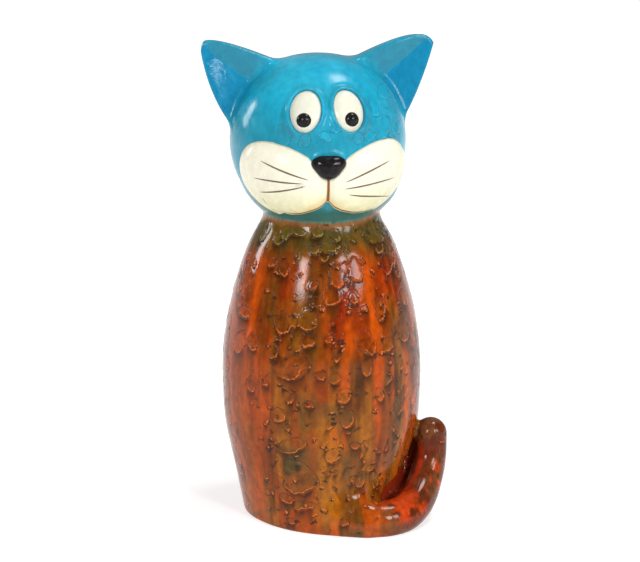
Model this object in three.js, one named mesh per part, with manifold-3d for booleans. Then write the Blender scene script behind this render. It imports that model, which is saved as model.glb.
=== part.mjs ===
// Cast resin cat figurine: a bottle-shaped body, a ball head with ears and a big muzzle, and a tail
// that wraps round the front and stands up beside the body. All of it is one casting.
// Millimetres, +Z up. The origin is the centre of the body's underside. The face looks along -Y
// and the tail stands on the +X side.
import * as THREE from "three";
import Module from "manifold-3d";
import { mergeVertices } from "three/addons/utils/BufferGeometryUtils.js";

const wasm = await Module();
wasm.setup();

// Body, turned round the Z axis
const BASE_RADIUS = 41.3;
const BELLY_RADIUS = 51.7;
const BELLY_HEIGHT = 78.4;
const SHOULDER_RADIUS = 33.9;
const SHOULDER_HEIGHT = 150.5;
const NECK_RADIUS = 30.0;
const NECK_HEIGHT = 160.6;
const JAW_RADIUS = 40.2;
const JAW_HEIGHT = 178.0;
const FOOT_ROUNDING = 1.4;
const BODY_SIDES = 48;

// Head, a ball with a flattened crown
const HEAD_RADIUS = 44.9;
const HEAD_SIDE_SHIFT = -1.95;
const HEAD_CENTRE_HEIGHT = 197.3;
const CROWN_HEIGHT = 43.6;
const CROWN_RADIUS = 75.0;
const HEAD_SIDES = 42;

// Muzzle, two lobes placed on the head by longitude and latitude in degrees
const LOBE_LONGITUDE = 33.2;
const LOBE_LATITUDE = -23.0;
const LOBE_ROLL = 23.9;
const LOBE_DEPTH = 34.8;
const LOBE_HALF_WIDTH = 26.3;
const LOBE_HALF_HEIGHT = 22.0;
const LOBE_BULGE = 16.2;

// Nose
const NOSE_HEIGHT = -6.0;
const NOSE_HALF_WIDTH = 8.3;
const NOSE_HALF_HEIGHT = 6.0;
const NOSE_HALF_DEPTH = 5.0;
const NOSE_DEPTH = 44.6;
const NOSE_CORNERS = 0.11;

// Eyes
const EYE_LONGITUDE = 15.7;
const EYE_LATITUDE = 27.3;
const EYE_HALF_WIDTH = 7.1;
const EYE_HALF_HEIGHT = 10.2;
const EYE_RISE = 1.5;
const EYE_RIM = 1.9;
const EYE_RIM_RISE = 1.1;
const PUPIL_LONGITUDE = 16.0;
const PUPIL_LATITUDE = 21.3;
const PUPIL_RADIUS = 4.3;
const PUPIL_RISE = 2.9;

// Ears. Outline points are across and up from the head's centre, for the ear on the +X side.
const EAR_INNER_FOOT = [20.9, 41.2];
const EAR_INNER_BOW = [41.0, 49.2];
const EAR_INNER_TIP = [53.6, 52.0];
const EAR_OUTER_FOOT = [43.6, 8.6];
const EAR_OUTER_BOW = [52.6, 25.3];
const EAR_OUTER_TIP = [60.0, 47.7];
const EAR_ROOT_REACH = 0.28;
const EAR_BACK_SHIFT = 3.0;
const EAR_LEAN = 1.25;
const EAR_FOOT_THICKNESS = 15.0;
const EAR_TIP_THICKNESS = 6.0;
const EAR_TIP_ROUNDING = 1.3;
const EAR_HOLLOW_DEPTH = 4.2;
const EAR_HOLLOW_AT = 0.4;
const EAR_RIM_WIDTH = 1.6;
const EAR_STEPS = 9;

// Tail. Each stop is the angle round the body, how far the tail's middle stands off the body's
// surface there, and the height.
const TAIL_STOPS = [
  { angle: -115, standOff: -17.0, height: 6.5 },
  { angle: -100, standOff: -11.3, height: 6.5 },
  { angle: -86, standOff: -5.5, height: 6.6 },
  { angle: -72, standOff: 3.1, height: 6.6 },
  { angle: -58, standOff: 9.9, height: 6.8 },
  { angle: -46, standOff: 11.9, height: 7.6 },
  { angle: -33, standOff: 11.8, height: 11.2 },
  { angle: -21, standOff: 11.1, height: 18.6 },
  { angle: -14, standOff: 10.5, height: 29.0 },
  { angle: -12, standOff: 8.3, height: 41.6 },
];
const TAIL_ROOT_RADIUS = 10.6;
const TAIL_TIP_RADIUS = 8.5;
const TAIL_SIDES = 18;
const TAIL_STEPS = 24;
const TAIL_CAP_STEPS = 5;

// Web that joins the tail to the body, under it and then behind its standing part
const WEB_STOPS = [
  { angle: -62, standOff: 1.5, height: 4.0 },
  { angle: -46, standOff: 4.5, height: 5.0 },
  { angle: -33, standOff: 5.0, height: 6.5 },
  { angle: -20, standOff: 4.5, height: 10.0 },
  { angle: -11, standOff: 4.0, height: 17.0 },
  { angle: -7, standOff: 3.5, height: 27.0 },
  { angle: -7, standOff: 2.0, height: 38.0 },
];
const WEB_RADIUS = 5.8;
const WEB_SIDES = 12;
const WEB_STEPS = 8;

// Channel carved in the body's flank in front of the web
const CHANNEL_STOPS = [
  { angle: -15, standOff: 1.5, height: 34.0 },
  { angle: -23, standOff: 1.3, height: 25.0 },
  { angle: -33, standOff: 0.6, height: 18.5 },
  { angle: -42, standOff: -0.8, height: 15.5 },
];
const CHANNEL_RADIUS = 5.0;
const CHANNEL_SIDES = 12;
const CHANNEL_STEPS = 8;

function solidFrom(geometry) {
  geometry.deleteAttribute("normal");
  geometry.deleteAttribute("uv");
  const welded = mergeVertices(geometry, 1e-4);
  return new wasm.Manifold(new wasm.Mesh({
    numProp: 3,
    vertProperties: Float32Array.from(welded.attributes.position.array),
    triVerts: Uint32Array.from(welded.index.array),
  }));
}

function geometryFrom(solid) {
  const mesh = solid.getMesh();
  const geometry = new THREE.BufferGeometry();
  geometry.setAttribute("position", new THREE.Float32BufferAttribute(mesh.vertProperties, 3));
  geometry.setIndex(Array.from(mesh.triVerts));
  geometry.computeVertexNormals();
  return geometry;
}

function turned(profile, sides) {
  const geometry = new THREE.LatheGeometry(profile, sides);
  geometry.rotateX(Math.PI / 2);
  return geometry;
}

function bezier(start, pullStart, pullEnd, end, steps) {
  const curve = new THREE.CubicBezierCurve(
    new THREE.Vector2(...start),
    new THREE.Vector2(...pullStart),
    new THREE.Vector2(...pullEnd),
    new THREE.Vector2(...end),
  );
  return curve.getPoints(steps);
}

// Closed rings of equal size, joined in order and closed with a fan at each end
function lofted(rings) {
  const count = rings[0].length;
  const positions = rings.flat().flatMap((point) => [point.x, point.y, point.z]);
  const index = [];
  for (let ring = 0; ring < rings.length - 1; ring += 1) {
    for (let side = 0; side < count; side += 1) {
      const next = (side + 1) % count;
      const a = ring * count + side;
      const b = ring * count + next;
      index.push(a, b, b + count, a, b + count, a + count);
    }
  }
  for (const [ring, flip] of [[0, true], [rings.length - 1, false]]) {
    const middle = rings[ring]
      .reduce((sum, point) => sum.add(point), new THREE.Vector3())
      .divideScalar(count);
    const hub = positions.length / 3;
    positions.push(middle.x, middle.y, middle.z);
    for (let side = 0; side < count; side += 1) {
      const a = ring * count + side;
      const b = ring * count + (side + 1) % count;
      index.push(...(flip ? [b, a, hub] : [a, b, hub]));
    }
  }
  const geometry = new THREE.BufferGeometry();
  geometry.setAttribute("position", new THREE.Float32BufferAttribute(positions, 3));
  geometry.setIndex(index);
  return geometry;
}

// The body's outline from the underside to the jaw, as distances from the axis and heights
function bodyOutline() {
  const foot = bezier(
    [BASE_RADIUS - FOOT_ROUNDING, 0],
    [BASE_RADIUS - FOOT_ROUNDING * 0.45, 0],
    [BASE_RADIUS + 0.1, FOOT_ROUNDING * 0.45],
    [BASE_RADIUS + 0.2, FOOT_ROUNDING],
    3,
  );
  const lower = bezier(
    [BASE_RADIUS + 0.2, FOOT_ROUNDING],
    [BELLY_RADIUS - 1.2, BELLY_HEIGHT * 0.67],
    [BELLY_RADIUS, BELLY_HEIGHT * 0.52],
    [BELLY_RADIUS, BELLY_HEIGHT],
    10,
  );
  const rise = SHOULDER_HEIGHT - BELLY_HEIGHT;
  const upper = bezier(
    [BELLY_RADIUS, BELLY_HEIGHT],
    [BELLY_RADIUS, BELLY_HEIGHT + rise * 0.34],
    [SHOULDER_RADIUS + 7.7, SHOULDER_HEIGHT - rise * 0.17],
    [SHOULDER_RADIUS, SHOULDER_HEIGHT],
    10,
  );
  const neckRise = NECK_HEIGHT - SHOULDER_HEIGHT;
  const neck = bezier(
    [SHOULDER_RADIUS, SHOULDER_HEIGHT],
    [SHOULDER_RADIUS - neckRise * 0.21, SHOULDER_HEIGHT + neckRise * 0.34],
    [NECK_RADIUS, NECK_HEIGHT - neckRise * 0.33],
    [NECK_RADIUS, NECK_HEIGHT],
    4,
  );
  const jaw = bezier(
    [NECK_RADIUS, NECK_HEIGHT],
    [NECK_RADIUS + 3.5, NECK_HEIGHT + 3.8],
    [JAW_RADIUS - 0.5, JAW_HEIGHT - 9.0],
    [JAW_RADIUS, JAW_HEIGHT],
    5,
  );
  return [...foot, ...lower.slice(1), ...upper.slice(1), ...neck.slice(1), ...jaw.slice(1)];
}

function bodyRadiusAt(height) {
  const outline = bodyOutline();
  const above = outline.findIndex((point) => point.y >= height);
  const high = outline[Math.max(above, 1)];
  const low = outline[Math.max(above, 1) - 1];
  return THREE.MathUtils.mapLinear(height, low.y, high.y, low.x, high.x);
}

function body() {
  const profile = [
    new THREE.Vector2(0, 0),
    ...bodyOutline(),
    new THREE.Vector2(JAW_RADIUS - 0.9, JAW_HEIGHT + 8),
    new THREE.Vector2(0, JAW_HEIGHT + 12),
  ];
  return solidFrom(turned(profile, BODY_SIDES));
}

function head() {
  const profile = [];
  const rows = HEAD_SIDES / 2;
  for (let row = 0; row <= rows; row += 1) {
    const angle = Math.PI * (row / rows - 0.5);
    const reach = row === 0 || row === rows ? 0 : HEAD_RADIUS * Math.cos(angle);
    const crown = CROWN_HEIGHT - CROWN_RADIUS + Math.sqrt(CROWN_RADIUS ** 2 - reach ** 2);
    profile.push(new THREE.Vector2(reach, Math.min(HEAD_RADIUS * Math.sin(angle), crown)));
  }
  const geometry = turned(profile, HEAD_SIDES);
  geometry.translate(HEAD_SIDE_SHIFT, 0, HEAD_CENTRE_HEIGHT);
  return solidFrom(geometry);
}

// A frame on the head's surface: x along the longitude, y outwards, z up the head, then rolled
function faceFrame(longitude, latitude, roll, depth) {
  const lon = THREE.MathUtils.degToRad(longitude);
  const lat = THREE.MathUtils.degToRad(latitude);
  const turn = THREE.MathUtils.degToRad(roll);
  const out = new THREE.Vector3(
    Math.sin(lon) * Math.cos(lat),
    -Math.cos(lon) * Math.cos(lat),
    Math.sin(lat),
  );
  const level = new THREE.Vector3(Math.cos(lon), Math.sin(lon), 0);
  const upward = new THREE.Vector3().crossVectors(level, out).negate();
  upward.multiplyScalar(upward.z < 0 ? -1 : 1);
  const across = level.clone().multiplyScalar(Math.cos(turn)).addScaledVector(upward, Math.sin(turn));
  const along = upward.clone().multiplyScalar(Math.cos(turn)).addScaledVector(level, -Math.sin(turn));
  const inward = new THREE.Vector3().crossVectors(along, across);
  const frame = new THREE.Matrix4().makeBasis(across, inward, along);
  frame.setPosition(
    HEAD_SIDE_SHIFT + out.x * depth,
    out.y * depth,
    HEAD_CENTRE_HEIGHT + out.z * depth,
  );
  return frame;
}

function pebble(halfWidth, halfDepth, halfHeight, frame, sides) {
  const geometry = new THREE.SphereGeometry(1, sides, Math.round(sides / 2));
  geometry.rotateX(Math.PI / 2);
  geometry.scale(halfWidth, halfDepth, halfHeight);
  geometry.applyMatrix4(frame);
  return solidFrom(geometry);
}

function muzzle() {
  const lobes = [-1, 1].map((side) => {
    const frame = faceFrame(side * LOBE_LONGITUDE, LOBE_LATITUDE, side * LOBE_ROLL, LOBE_DEPTH);
    return pebble(LOBE_HALF_WIDTH, LOBE_BULGE, LOBE_HALF_HEIGHT, frame, 30);
  });
  return lobes[0].add(lobes[1]);
}

// The nose is a ball drawn out into three soft corners, one of them pointing down
function nose() {
  const geometry = new THREE.SphereGeometry(1, 28, 14);
  geometry.rotateX(Math.PI / 2);
  const spots = geometry.attributes.position;
  for (let i = 0; i < spots.count; i += 1) {
    const angle = Math.atan2(spots.getZ(i), spots.getX(i));
    const swell = 1 + NOSE_CORNERS * Math.cos(3 * (angle + Math.PI / 2));
    spots.setX(i, spots.getX(i) * swell);
    spots.setZ(i, spots.getZ(i) * swell);
  }
  geometry.scale(NOSE_HALF_WIDTH, NOSE_HALF_DEPTH, NOSE_HALF_HEIGHT);
  geometry.translate(HEAD_SIDE_SHIFT, -NOSE_DEPTH, HEAD_CENTRE_HEIGHT + NOSE_HEIGHT);
  return solidFrom(geometry);
}

// A low dome that meets the ball of the head on an oval of the given half sizes
function dome(longitude, latitude, halfWidth, halfHeight, rise, sides) {
  const sink = 2 * rise;
  const spread = (half) => {
    const fall = sink - half ** 2 / (2 * HEAD_RADIUS);
    return half / Math.sqrt(1 - (fall / (rise + sink)) ** 2);
  };
  const frame = faceFrame(longitude, latitude, 0, HEAD_RADIUS - sink);
  return pebble(spread(halfWidth), rise + sink, spread(halfHeight), frame, sides);
}

function eye(side) {
  const rim = dome(
    side * EYE_LONGITUDE,
    EYE_LATITUDE,
    EYE_HALF_WIDTH + EYE_RIM,
    EYE_HALF_HEIGHT + EYE_RIM,
    EYE_RIM_RISE,
    28,
  );
  const ball = dome(
    side * EYE_LONGITUDE,
    EYE_LATITUDE,
    EYE_HALF_WIDTH,
    EYE_HALF_HEIGHT,
    EYE_RISE,
    28,
  );
  const pupil = dome(
    side * PUPIL_LONGITUDE,
    PUPIL_LATITUDE,
    PUPIL_RADIUS,
    PUPIL_RADIUS,
    PUPIL_RISE,
    16,
  );
  return rim.add(ball).add(pupil);
}

// One ear: rings stacked from inside the head to the tip, hollow in front and bowed at the back
function ear(side) {
  const edge = (foot, bow, tip, share) => {
    const a = new THREE.Vector2(...foot);
    const b = new THREE.Vector2(...bow);
    const c = new THREE.Vector2(...tip);
    const pull = b.clone().multiplyScalar(2).addScaledVector(a, -0.5).addScaledVector(c, -0.5);
    if (share < 0) return a.clone().addScaledVector(pull.clone().sub(a), 2 * share);
    return new THREE.QuadraticBezierCurve(a, pull, c).getPoint(share);
  };
  const ring = (inner, outer, thickness, hollow) => {
    const chord = outer.clone().sub(inner);
    const length = chord.length();
    const rim = Math.min(EAR_RIM_WIDTH / length, 0.3);
    const half = thickness / 2;
    const stops = [
      [0, -half * 0.5],
      [rim, -half],
      [EAR_HOLLOW_AT * 0.5 + rim * 0.5, -half + hollow * 0.5],
      [EAR_HOLLOW_AT, -half + hollow],
      [(EAR_HOLLOW_AT + 1 - rim) / 2, -half + hollow * 0.5],
      [1 - rim, -half],
      [1, -half * 0.5],
      [1, half * 0.1],
      [0.88, half * 0.6],
      [0.7, half * 0.9],
      [0.5, half],
      [0.3, half * 0.9],
      [0.12, half * 0.6],
      [0, half * 0.1],
    ];
    const points = stops.map(([share, back]) => {
      const spot = inner.clone().addScaledVector(chord, share);
      spot.x *= side;
      spot.rotateAround(new THREE.Vector2(), THREE.MathUtils.degToRad(EAR_LEAN));
      return new THREE.Vector3(
        HEAD_SIDE_SHIFT + spot.x,
        EAR_BACK_SHIFT + back,
        HEAD_CENTRE_HEIGHT + spot.y,
      );
    });
    return side > 0 ? points : points.reverse();
  };
  const rings = [];
  for (let step = 0; step <= EAR_STEPS; step += 1) {
    const share = -EAR_ROOT_REACH + (1 + EAR_ROOT_REACH) * step / EAR_STEPS;
    const inner = edge(EAR_INNER_FOOT, EAR_INNER_BOW, EAR_INNER_TIP, share);
    const outer = edge(EAR_OUTER_FOOT, EAR_OUTER_BOW, EAR_OUTER_TIP, share);
    const open = Math.max(share, 0);
    const thickness = THREE.MathUtils.lerp(EAR_FOOT_THICKNESS, EAR_TIP_THICKNESS, open);
    rings.push(ring(inner, outer, thickness, EAR_HOLLOW_DEPTH * (1 - open ** 3)));
  }
  const inner = new THREE.Vector2(...EAR_INNER_TIP);
  const outer = new THREE.Vector2(...EAR_OUTER_TIP);
  const middle = inner.clone().add(outer).multiplyScalar(0.5);
  const outward = new THREE.Vector2(inner.y - outer.y, outer.x - inner.x).normalize();
  for (const angle of [0.55, 1.05]) {
    const cap = (corner) => middle.clone()
      .addScaledVector(corner.clone().sub(middle), Math.cos(angle))
      .addScaledVector(outward, EAR_TIP_ROUNDING * Math.sin(angle));
    rings.push(ring(cap(inner), cap(outer), EAR_TIP_THICKNESS * Math.cos(angle * 0.8), 0));
  }
  return solidFrom(lofted(rings));
}

function routeThrough(stops) {
  const points = stops.map(({ angle, standOff, height }) => {
    const turn = THREE.MathUtils.degToRad(angle);
    const reach = bodyRadiusAt(height) + standOff;
    return new THREE.Vector3(reach * Math.cos(turn), reach * Math.sin(turn), height);
  });
  return new THREE.CatmullRomCurve3(points, false, "centripetal");
}

// A round bar along a route, with a dome at its far end
function bar(route, steps, sides, radiusAt, capSteps) {
  const frames = route.computeFrenetFrames(steps, false);
  const ringAt = (centre, step, radius) => {
    const points = [];
    for (let side = 0; side < sides; side += 1) {
      const angle = 2 * Math.PI * side / sides;
      points.push(centre.clone()
        .addScaledVector(frames.normals[step], radius * Math.cos(angle))
        .addScaledVector(frames.binormals[step], radius * Math.sin(angle)));
    }
    return points;
  };
  const rings = [];
  for (let step = 0; step <= steps; step += 1) {
    const share = step / steps;
    rings.push(ringAt(route.getPointAt(share), step, radiusAt(share)));
  }
  const end = route.getPointAt(1);
  for (let step = 1; step < capSteps; step += 1) {
    const angle = Math.PI / 2 * step / capSteps;
    const centre = end.clone().addScaledVector(frames.tangents[steps], radiusAt(1) * Math.sin(angle));
    rings.push(ringAt(centre, steps, radiusAt(1) * Math.cos(angle)));
  }
  return solidFrom(lofted(rings));
}

function tail() {
  const radiusAt = (share) => THREE.MathUtils.lerp(TAIL_ROOT_RADIUS, TAIL_TIP_RADIUS, share);
  return bar(routeThrough(TAIL_STOPS), TAIL_STEPS, TAIL_SIDES, radiusAt, TAIL_CAP_STEPS);
}

function web() {
  return bar(routeThrough(WEB_STOPS), WEB_STEPS, WEB_SIDES, () => WEB_RADIUS, 4);
}

// Everything below the underside, which the tail and the web are cut off by
function ground() {
  const slab = new THREE.BoxGeometry(4 * BELLY_RADIUS, 4 * BELLY_RADIUS, BELLY_RADIUS);
  slab.translate(0, 0, -BELLY_RADIUS / 2);
  return solidFrom(slab);
}

function channel() {
  return bar(routeThrough(CHANNEL_STOPS), CHANNEL_STEPS, CHANNEL_SIDES, () => CHANNEL_RADIUS, 4);
}

const cat = body()
  .subtract(channel())
  .add(web().add(tail()).subtract(ground()))
  .add(head())
  .add(muzzle())
  .add(nose())
  .add(eye(-1))
  .add(eye(1))
  .add(ear(-1))
  .add(ear(1));

const material = new THREE.MeshStandardMaterial({ color: 0x9a5a2c });
const figurine = new THREE.Mesh(geometryFrom(cat), material);
figurine.name = "cat_figurine";

const group = new THREE.Group();
group.add(figurine);

export default group;
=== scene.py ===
"""The looks of a cast resin cat: glazed body and head, cream muzzle and eyes, black nose and pupils.

Shapes are worked out in millimetres as distance fields, turned into meshes, painted by position, and
scaled to metres at the end. +Z is up and the face looks along -Y.
"""

import math
from itertools import product

import bpy
import numpy as np
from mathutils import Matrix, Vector
from mathutils.kdtree import KDTree


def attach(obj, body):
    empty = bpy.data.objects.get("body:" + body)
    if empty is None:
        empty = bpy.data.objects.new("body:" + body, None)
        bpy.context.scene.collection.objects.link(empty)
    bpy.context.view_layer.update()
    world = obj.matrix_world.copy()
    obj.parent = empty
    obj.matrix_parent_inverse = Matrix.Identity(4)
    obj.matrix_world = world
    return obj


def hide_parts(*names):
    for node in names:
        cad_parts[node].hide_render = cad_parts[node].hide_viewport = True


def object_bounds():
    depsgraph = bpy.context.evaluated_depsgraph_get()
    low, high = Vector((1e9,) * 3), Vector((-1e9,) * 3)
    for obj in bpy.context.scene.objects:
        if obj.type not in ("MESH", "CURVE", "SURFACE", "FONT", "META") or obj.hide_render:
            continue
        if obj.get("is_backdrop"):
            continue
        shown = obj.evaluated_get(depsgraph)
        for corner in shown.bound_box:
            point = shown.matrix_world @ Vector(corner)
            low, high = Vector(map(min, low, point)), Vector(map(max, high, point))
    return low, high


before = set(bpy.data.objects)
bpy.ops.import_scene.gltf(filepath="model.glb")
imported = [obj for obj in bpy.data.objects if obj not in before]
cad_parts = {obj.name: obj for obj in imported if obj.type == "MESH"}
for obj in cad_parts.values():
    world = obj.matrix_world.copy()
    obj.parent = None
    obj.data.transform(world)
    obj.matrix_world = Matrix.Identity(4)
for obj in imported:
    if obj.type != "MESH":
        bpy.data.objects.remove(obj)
box_of_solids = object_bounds()

MM = 0.001
SEED = 41

# The body's outline, as in the solid
BASE_RADIUS = 41.3
BELLY_RADIUS = 51.7
BELLY_HEIGHT = 78.4
SHOULDER_RADIUS = 33.9
SHOULDER_HEIGHT = 150.5
NECK_RADIUS = 30.0
NECK_HEIGHT = 160.6
JAW_RADIUS = 40.2
JAW_HEIGHT = 178.0
FOOT_ROUNDING = 1.4

# The head
HEAD_RADIUS = 44.9
HEAD_SIDE_SHIFT = -1.95
HEAD_CENTRE_HEIGHT = 197.3
CROWN_HEIGHT = 43.6
CROWN_RADIUS = 75.0
HEAD_CENTRE = np.array([HEAD_SIDE_SHIFT, 0.0, HEAD_CENTRE_HEIGHT])

# The muzzle's two lobes, in degrees and millimetres
LOBE_LONGITUDE = 33.2
LOBE_LATITUDE = -23.0
LOBE_ROLL = 23.9
LOBE_DEPTH = 34.8
LOBE_HALF_WIDTH = 26.3
LOBE_HALF_HEIGHT = 22.0
LOBE_BULGE = 16.2

# The nose
NOSE_HEIGHT = -6.0
NOSE_HALF_WIDTH = 8.3
NOSE_HALF_HEIGHT = 6.0
NOSE_HALF_DEPTH = 5.0
NOSE_DEPTH = 44.6
NOSE_CORNERS = 0.11

# The eyes
EYE_LONGITUDE = 15.7
EYE_LATITUDE = 27.3
EYE_HALF_WIDTH = 7.1
EYE_HALF_HEIGHT = 10.2
EYE_RISE = 1.5
EYE_RIM_RISE = 1.1
PUPIL_LONGITUDE = 16.0
PUPIL_LATITUDE = 21.3
PUPIL_RADIUS = 4.3
PUPIL_RISE = 2.9

# The ears, as points across and up from the head's centre
EAR_INNER_FOOT = (20.9, 41.2)
EAR_INNER_BOW = (41.0, 49.2)
EAR_INNER_TIPS = ((53.6, 52.0), (53.6, 51.0))
EAR_OUTER_FOOT = (43.6, 8.6)
EAR_OUTER_BOW = (52.6, 25.3)
EAR_OUTER_TIPS = ((57.8, 46.0), (60.6, 46.4))
EAR_TIP_CORNERS = ((57.4, 52.2), (58.8, 50.8))
EAR_ROOT_REACH = 0.28
EAR_BACK_SHIFT = 3.0
EAR_LEAN = 1.25
EAR_FOOT_THICKNESS = 15.0
EAR_TIP_THICKNESS = 6.0
EAR_HOLLOW_DEPTH = 4.2
EAR_HOLLOW_AT = 0.4

# The tail, the web behind it and the channel beside it: (angle, distance off the body, height)
TAIL_STOPS = (
    (-115, -17.0, 6.5), (-100, -11.3, 6.5), (-86, -5.5, 6.6), (-72, 3.1, 6.6), (-58, 9.9, 6.8),
    (-46, 11.9, 7.6), (-33, 11.8, 11.2), (-21, 11.1, 18.6), (-14, 10.5, 29.0), (-12, 8.3, 41.6),
)
TAIL_ROOT_RADIUS = 10.6
TAIL_TIP_RADIUS = 8.5
WEB_STOPS = (
    (-62, 1.5, 4.0), (-46, 4.5, 5.0), (-33, 5.0, 6.5), (-20, 4.5, 10.0), (-11, 4.0, 17.0),
    (-7, 3.5, 27.0), (-7, 2.0, 38.0),
)
WEB_RADIUS = 5.8
CHANNEL_STOPS = (
    (-15, 1.5, 34.0), (-23, 1.3, 25.0), (-33, 0.6, 18.5), (-42, -0.8, 15.5),
)
CHANNEL_RADIUS = 6.6

# How softly the forms run into each other, in millimetres
CROWN_BLEND = 2.0
LOBE_BLEND = 1.2
LIP_BLEND = 1.0
EAR_EDGE_BLEND = 2.2
EAR_BLEND = 3.5
HEAD_BLEND = 2.5
WEB_BLEND = 3.0
TAIL_BLEND = 3.0
ROOT_EXTRA_BLEND = 11.0
CHANNEL_BLEND = 2.5
UNDERSIDE_BLEND = 1.0

# The tail lies wholly below the first of these heights, the head and ears wholly above the other
TAIL_BELOW = 68.0
HEAD_ABOVE = 148.0

# The skins of body and head meet at the neck, each running on past it a little sunk
OVERLAP = 3.0
OVERLAP_SINK = 0.3

BODY_CELLS = (0.93, 1.6)
HEAD_CELLS = (0.72, 1.4)
MUZZLE_CELLS = (0.55, 1.1)
NOSE_CELL = 0.45
EYE_CELL = 0.5
PUPIL_CELL = 0.35

# The glaze: how many blobs the body gets, the share of tries that are out of the photograph's sight,
# the number that the head's blobs start from, and the relief
BLOB_COUNT = 330
BLOB_TRIES = 6000
HIDDEN_SHARE = 0.75
FIRST_HEAD_BLOB = 500
BLOB_RISE = 0.12
BLOB_LIP_RISE = 0.10
BLOB_DITCH = 0.08
GLAZE_IOR = 1.27
DROP_SPACING = 4.4

# The room and the floor
ROOM_IN_FRONT = 0.08
ROOM_BEHIND = 0.35
FLOOR_GREY = 0.72
FLOOR_GLOW_NEAR = 0.54
FLOOR_GLOW_FAR = 0.95

# The photograph's camera
PHOTO_WIDTH = 640
PHOTO_HEIGHT = 562
AZIMUTH = -7.0
ELEVATION = 14.0
DISTANCE = 1000.0
FOCAL_PIXELS = 1929.52
SENSOR_WIDTH = 36.0
TARGET = np.array([-0.78, 0.0, 122.656])

# Millimetres to a pixel at the object, and the angle round the body that faces the camera
PIXEL = DISTANCE / FOCAL_PIXELS
FACING = math.radians(-90 + AZIMUTH)

# How far before and past the middle of the object a ray is followed
BEFORE_TARGET = 130.0
PAST_TARGET = 60.0


# Small maths


def lerp(a, b, share):
    return a + (b - a) * share


def smoothstep(low, high, value):
    share = np.clip((value - low) / (high - low), 0.0, 1.0)
    return share * share * (3.0 - 2.0 * share)


def bump_at(value, centre, width):
    return np.exp(-(((value - centre) / width) ** 2))


def unit(vectors):
    return vectors / np.maximum(np.linalg.norm(vectors, axis=1, keepdims=True), 1e-9)


def joined(a, b, blend):
    share = np.clip(0.5 + 0.5 * (b - a) / blend, 0.0, 1.0)
    return b + (a - b) * share - blend * share * (1.0 - share)


def cut(a, b, blend):
    return -joined(-a, b, blend)


def common(a, b, blend):
    return -joined(-a, -b, blend)


def bezier(points, steps):
    share = np.linspace(0.0, 1.0, steps + 1)[:, None]
    points = [np.array(p, float) for p in points]
    while len(points) > 1:
        points = [lerp(a, b, share) for a, b in zip(points, points[1:])]
    return points[0]


def lattice(cells, seed):
    mixed = cells[..., 0] * 73856093 ^ cells[..., 1] * 19349663 ^ cells[..., 2] * 83492791
    mixed = (mixed ^ (seed * 2654435761)) & 0xFFFFFFFF
    mixed = ((mixed ^ (mixed >> 15)) * 2246822519) & 0xFFFFFFFF
    mixed = ((mixed ^ (mixed >> 13)) * 3266489917) & 0xFFFFFFFF
    return ((mixed ^ (mixed >> 16)) & 0xFFFF) / 65535.0


def noise(points, seed):
    """Smooth noise from 0 to 1, with features about one unit across."""
    base = np.floor(points).astype(np.int64)
    part = points - base
    part = part * part * (3.0 - 2.0 * part)
    total = np.zeros(points.shape[:-1])
    for corner in product((0, 1), repeat=3):
        weight = np.prod(np.where(np.array(corner), part, 1.0 - part), axis=-1)
        total += weight * lattice(base + np.array(corner), seed)
    return total


def layered_noise(points, seed, layers=3):
    total = np.zeros(points.shape[:-1])
    reach = 0.0
    for layer in range(layers):
        total += noise(points * 2.0**layer, seed + layer) * 0.5**layer
        reach += 0.5**layer
    return total / reach


# The photograph's rays


def camera_axes():
    turn, tilt = math.radians(AZIMUTH), math.radians(ELEVATION)
    back = np.array([
        math.sin(turn) * math.cos(tilt),
        -math.cos(turn) * math.cos(tilt),
        math.sin(tilt),
    ])
    right = np.array([math.cos(turn), math.sin(turn), 0.0])
    return right, np.cross(back, right), back


RIGHT, UP, BACK = camera_axes()


def picked(field, pixels):
    """Where the rays through these pixels of the photograph meet the field's surface."""
    pixels = np.array(pixels, float)
    across = (pixels[:, 0] - PHOTO_WIDTH / 2) / FOCAL_PIXELS
    upward = (PHOTO_HEIGHT / 2 - pixels[:, 1]) / FOCAL_PIXELS
    rays = unit(-BACK + across[:, None] * RIGHT + upward[:, None] * UP)
    start = TARGET + BACK * DISTANCE
    reach = np.full(len(pixels), DISTANCE - BEFORE_TARGET)
    for _ in range(80):
        reach += field(start + rays * reach[:, None]) * 0.8
        reach = np.minimum(reach, DISTANCE + PAST_TARGET)
    return start + rays * reach[:, None]


# Distance fields of the forms


def body_outline():
    """Half the body's outline: smooth curves of four stops, each starting where the last one ends."""
    rise = SHOULDER_HEIGHT - BELLY_HEIGHT
    neck_rise = NECK_HEIGHT - SHOULDER_HEIGHT
    stops = [
        (BASE_RADIUS - FOOT_ROUNDING, 0),
        (BASE_RADIUS - FOOT_ROUNDING * 0.45, 0),
        (BASE_RADIUS + 0.1, FOOT_ROUNDING * 0.45),
        (BASE_RADIUS + 0.2, FOOT_ROUNDING),
        (BELLY_RADIUS - 1.2, BELLY_HEIGHT * 0.67),
        (BELLY_RADIUS, BELLY_HEIGHT * 0.52),
        (BELLY_RADIUS, BELLY_HEIGHT),
        (BELLY_RADIUS, BELLY_HEIGHT + rise * 0.34),
        (SHOULDER_RADIUS + 7.7, SHOULDER_HEIGHT - rise * 0.17),
        (SHOULDER_RADIUS, SHOULDER_HEIGHT),
        (SHOULDER_RADIUS - neck_rise * 0.21, SHOULDER_HEIGHT + neck_rise * 0.34),
        (NECK_RADIUS, NECK_HEIGHT - neck_rise * 0.33),
        (NECK_RADIUS, NECK_HEIGHT),
        (NECK_RADIUS + 3.5, NECK_HEIGHT + 3.8),
        (JAW_RADIUS - 0.5, JAW_HEIGHT - 9.0),
        (JAW_RADIUS, JAW_HEIGHT),
    ]
    parts = [bezier(stops[i : i + 4], 40) for i in range(0, len(stops) - 1, 3)]
    return np.concatenate([parts[0]] + [part[1:] for part in parts[1:]])


OUTLINE = body_outline()


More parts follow.
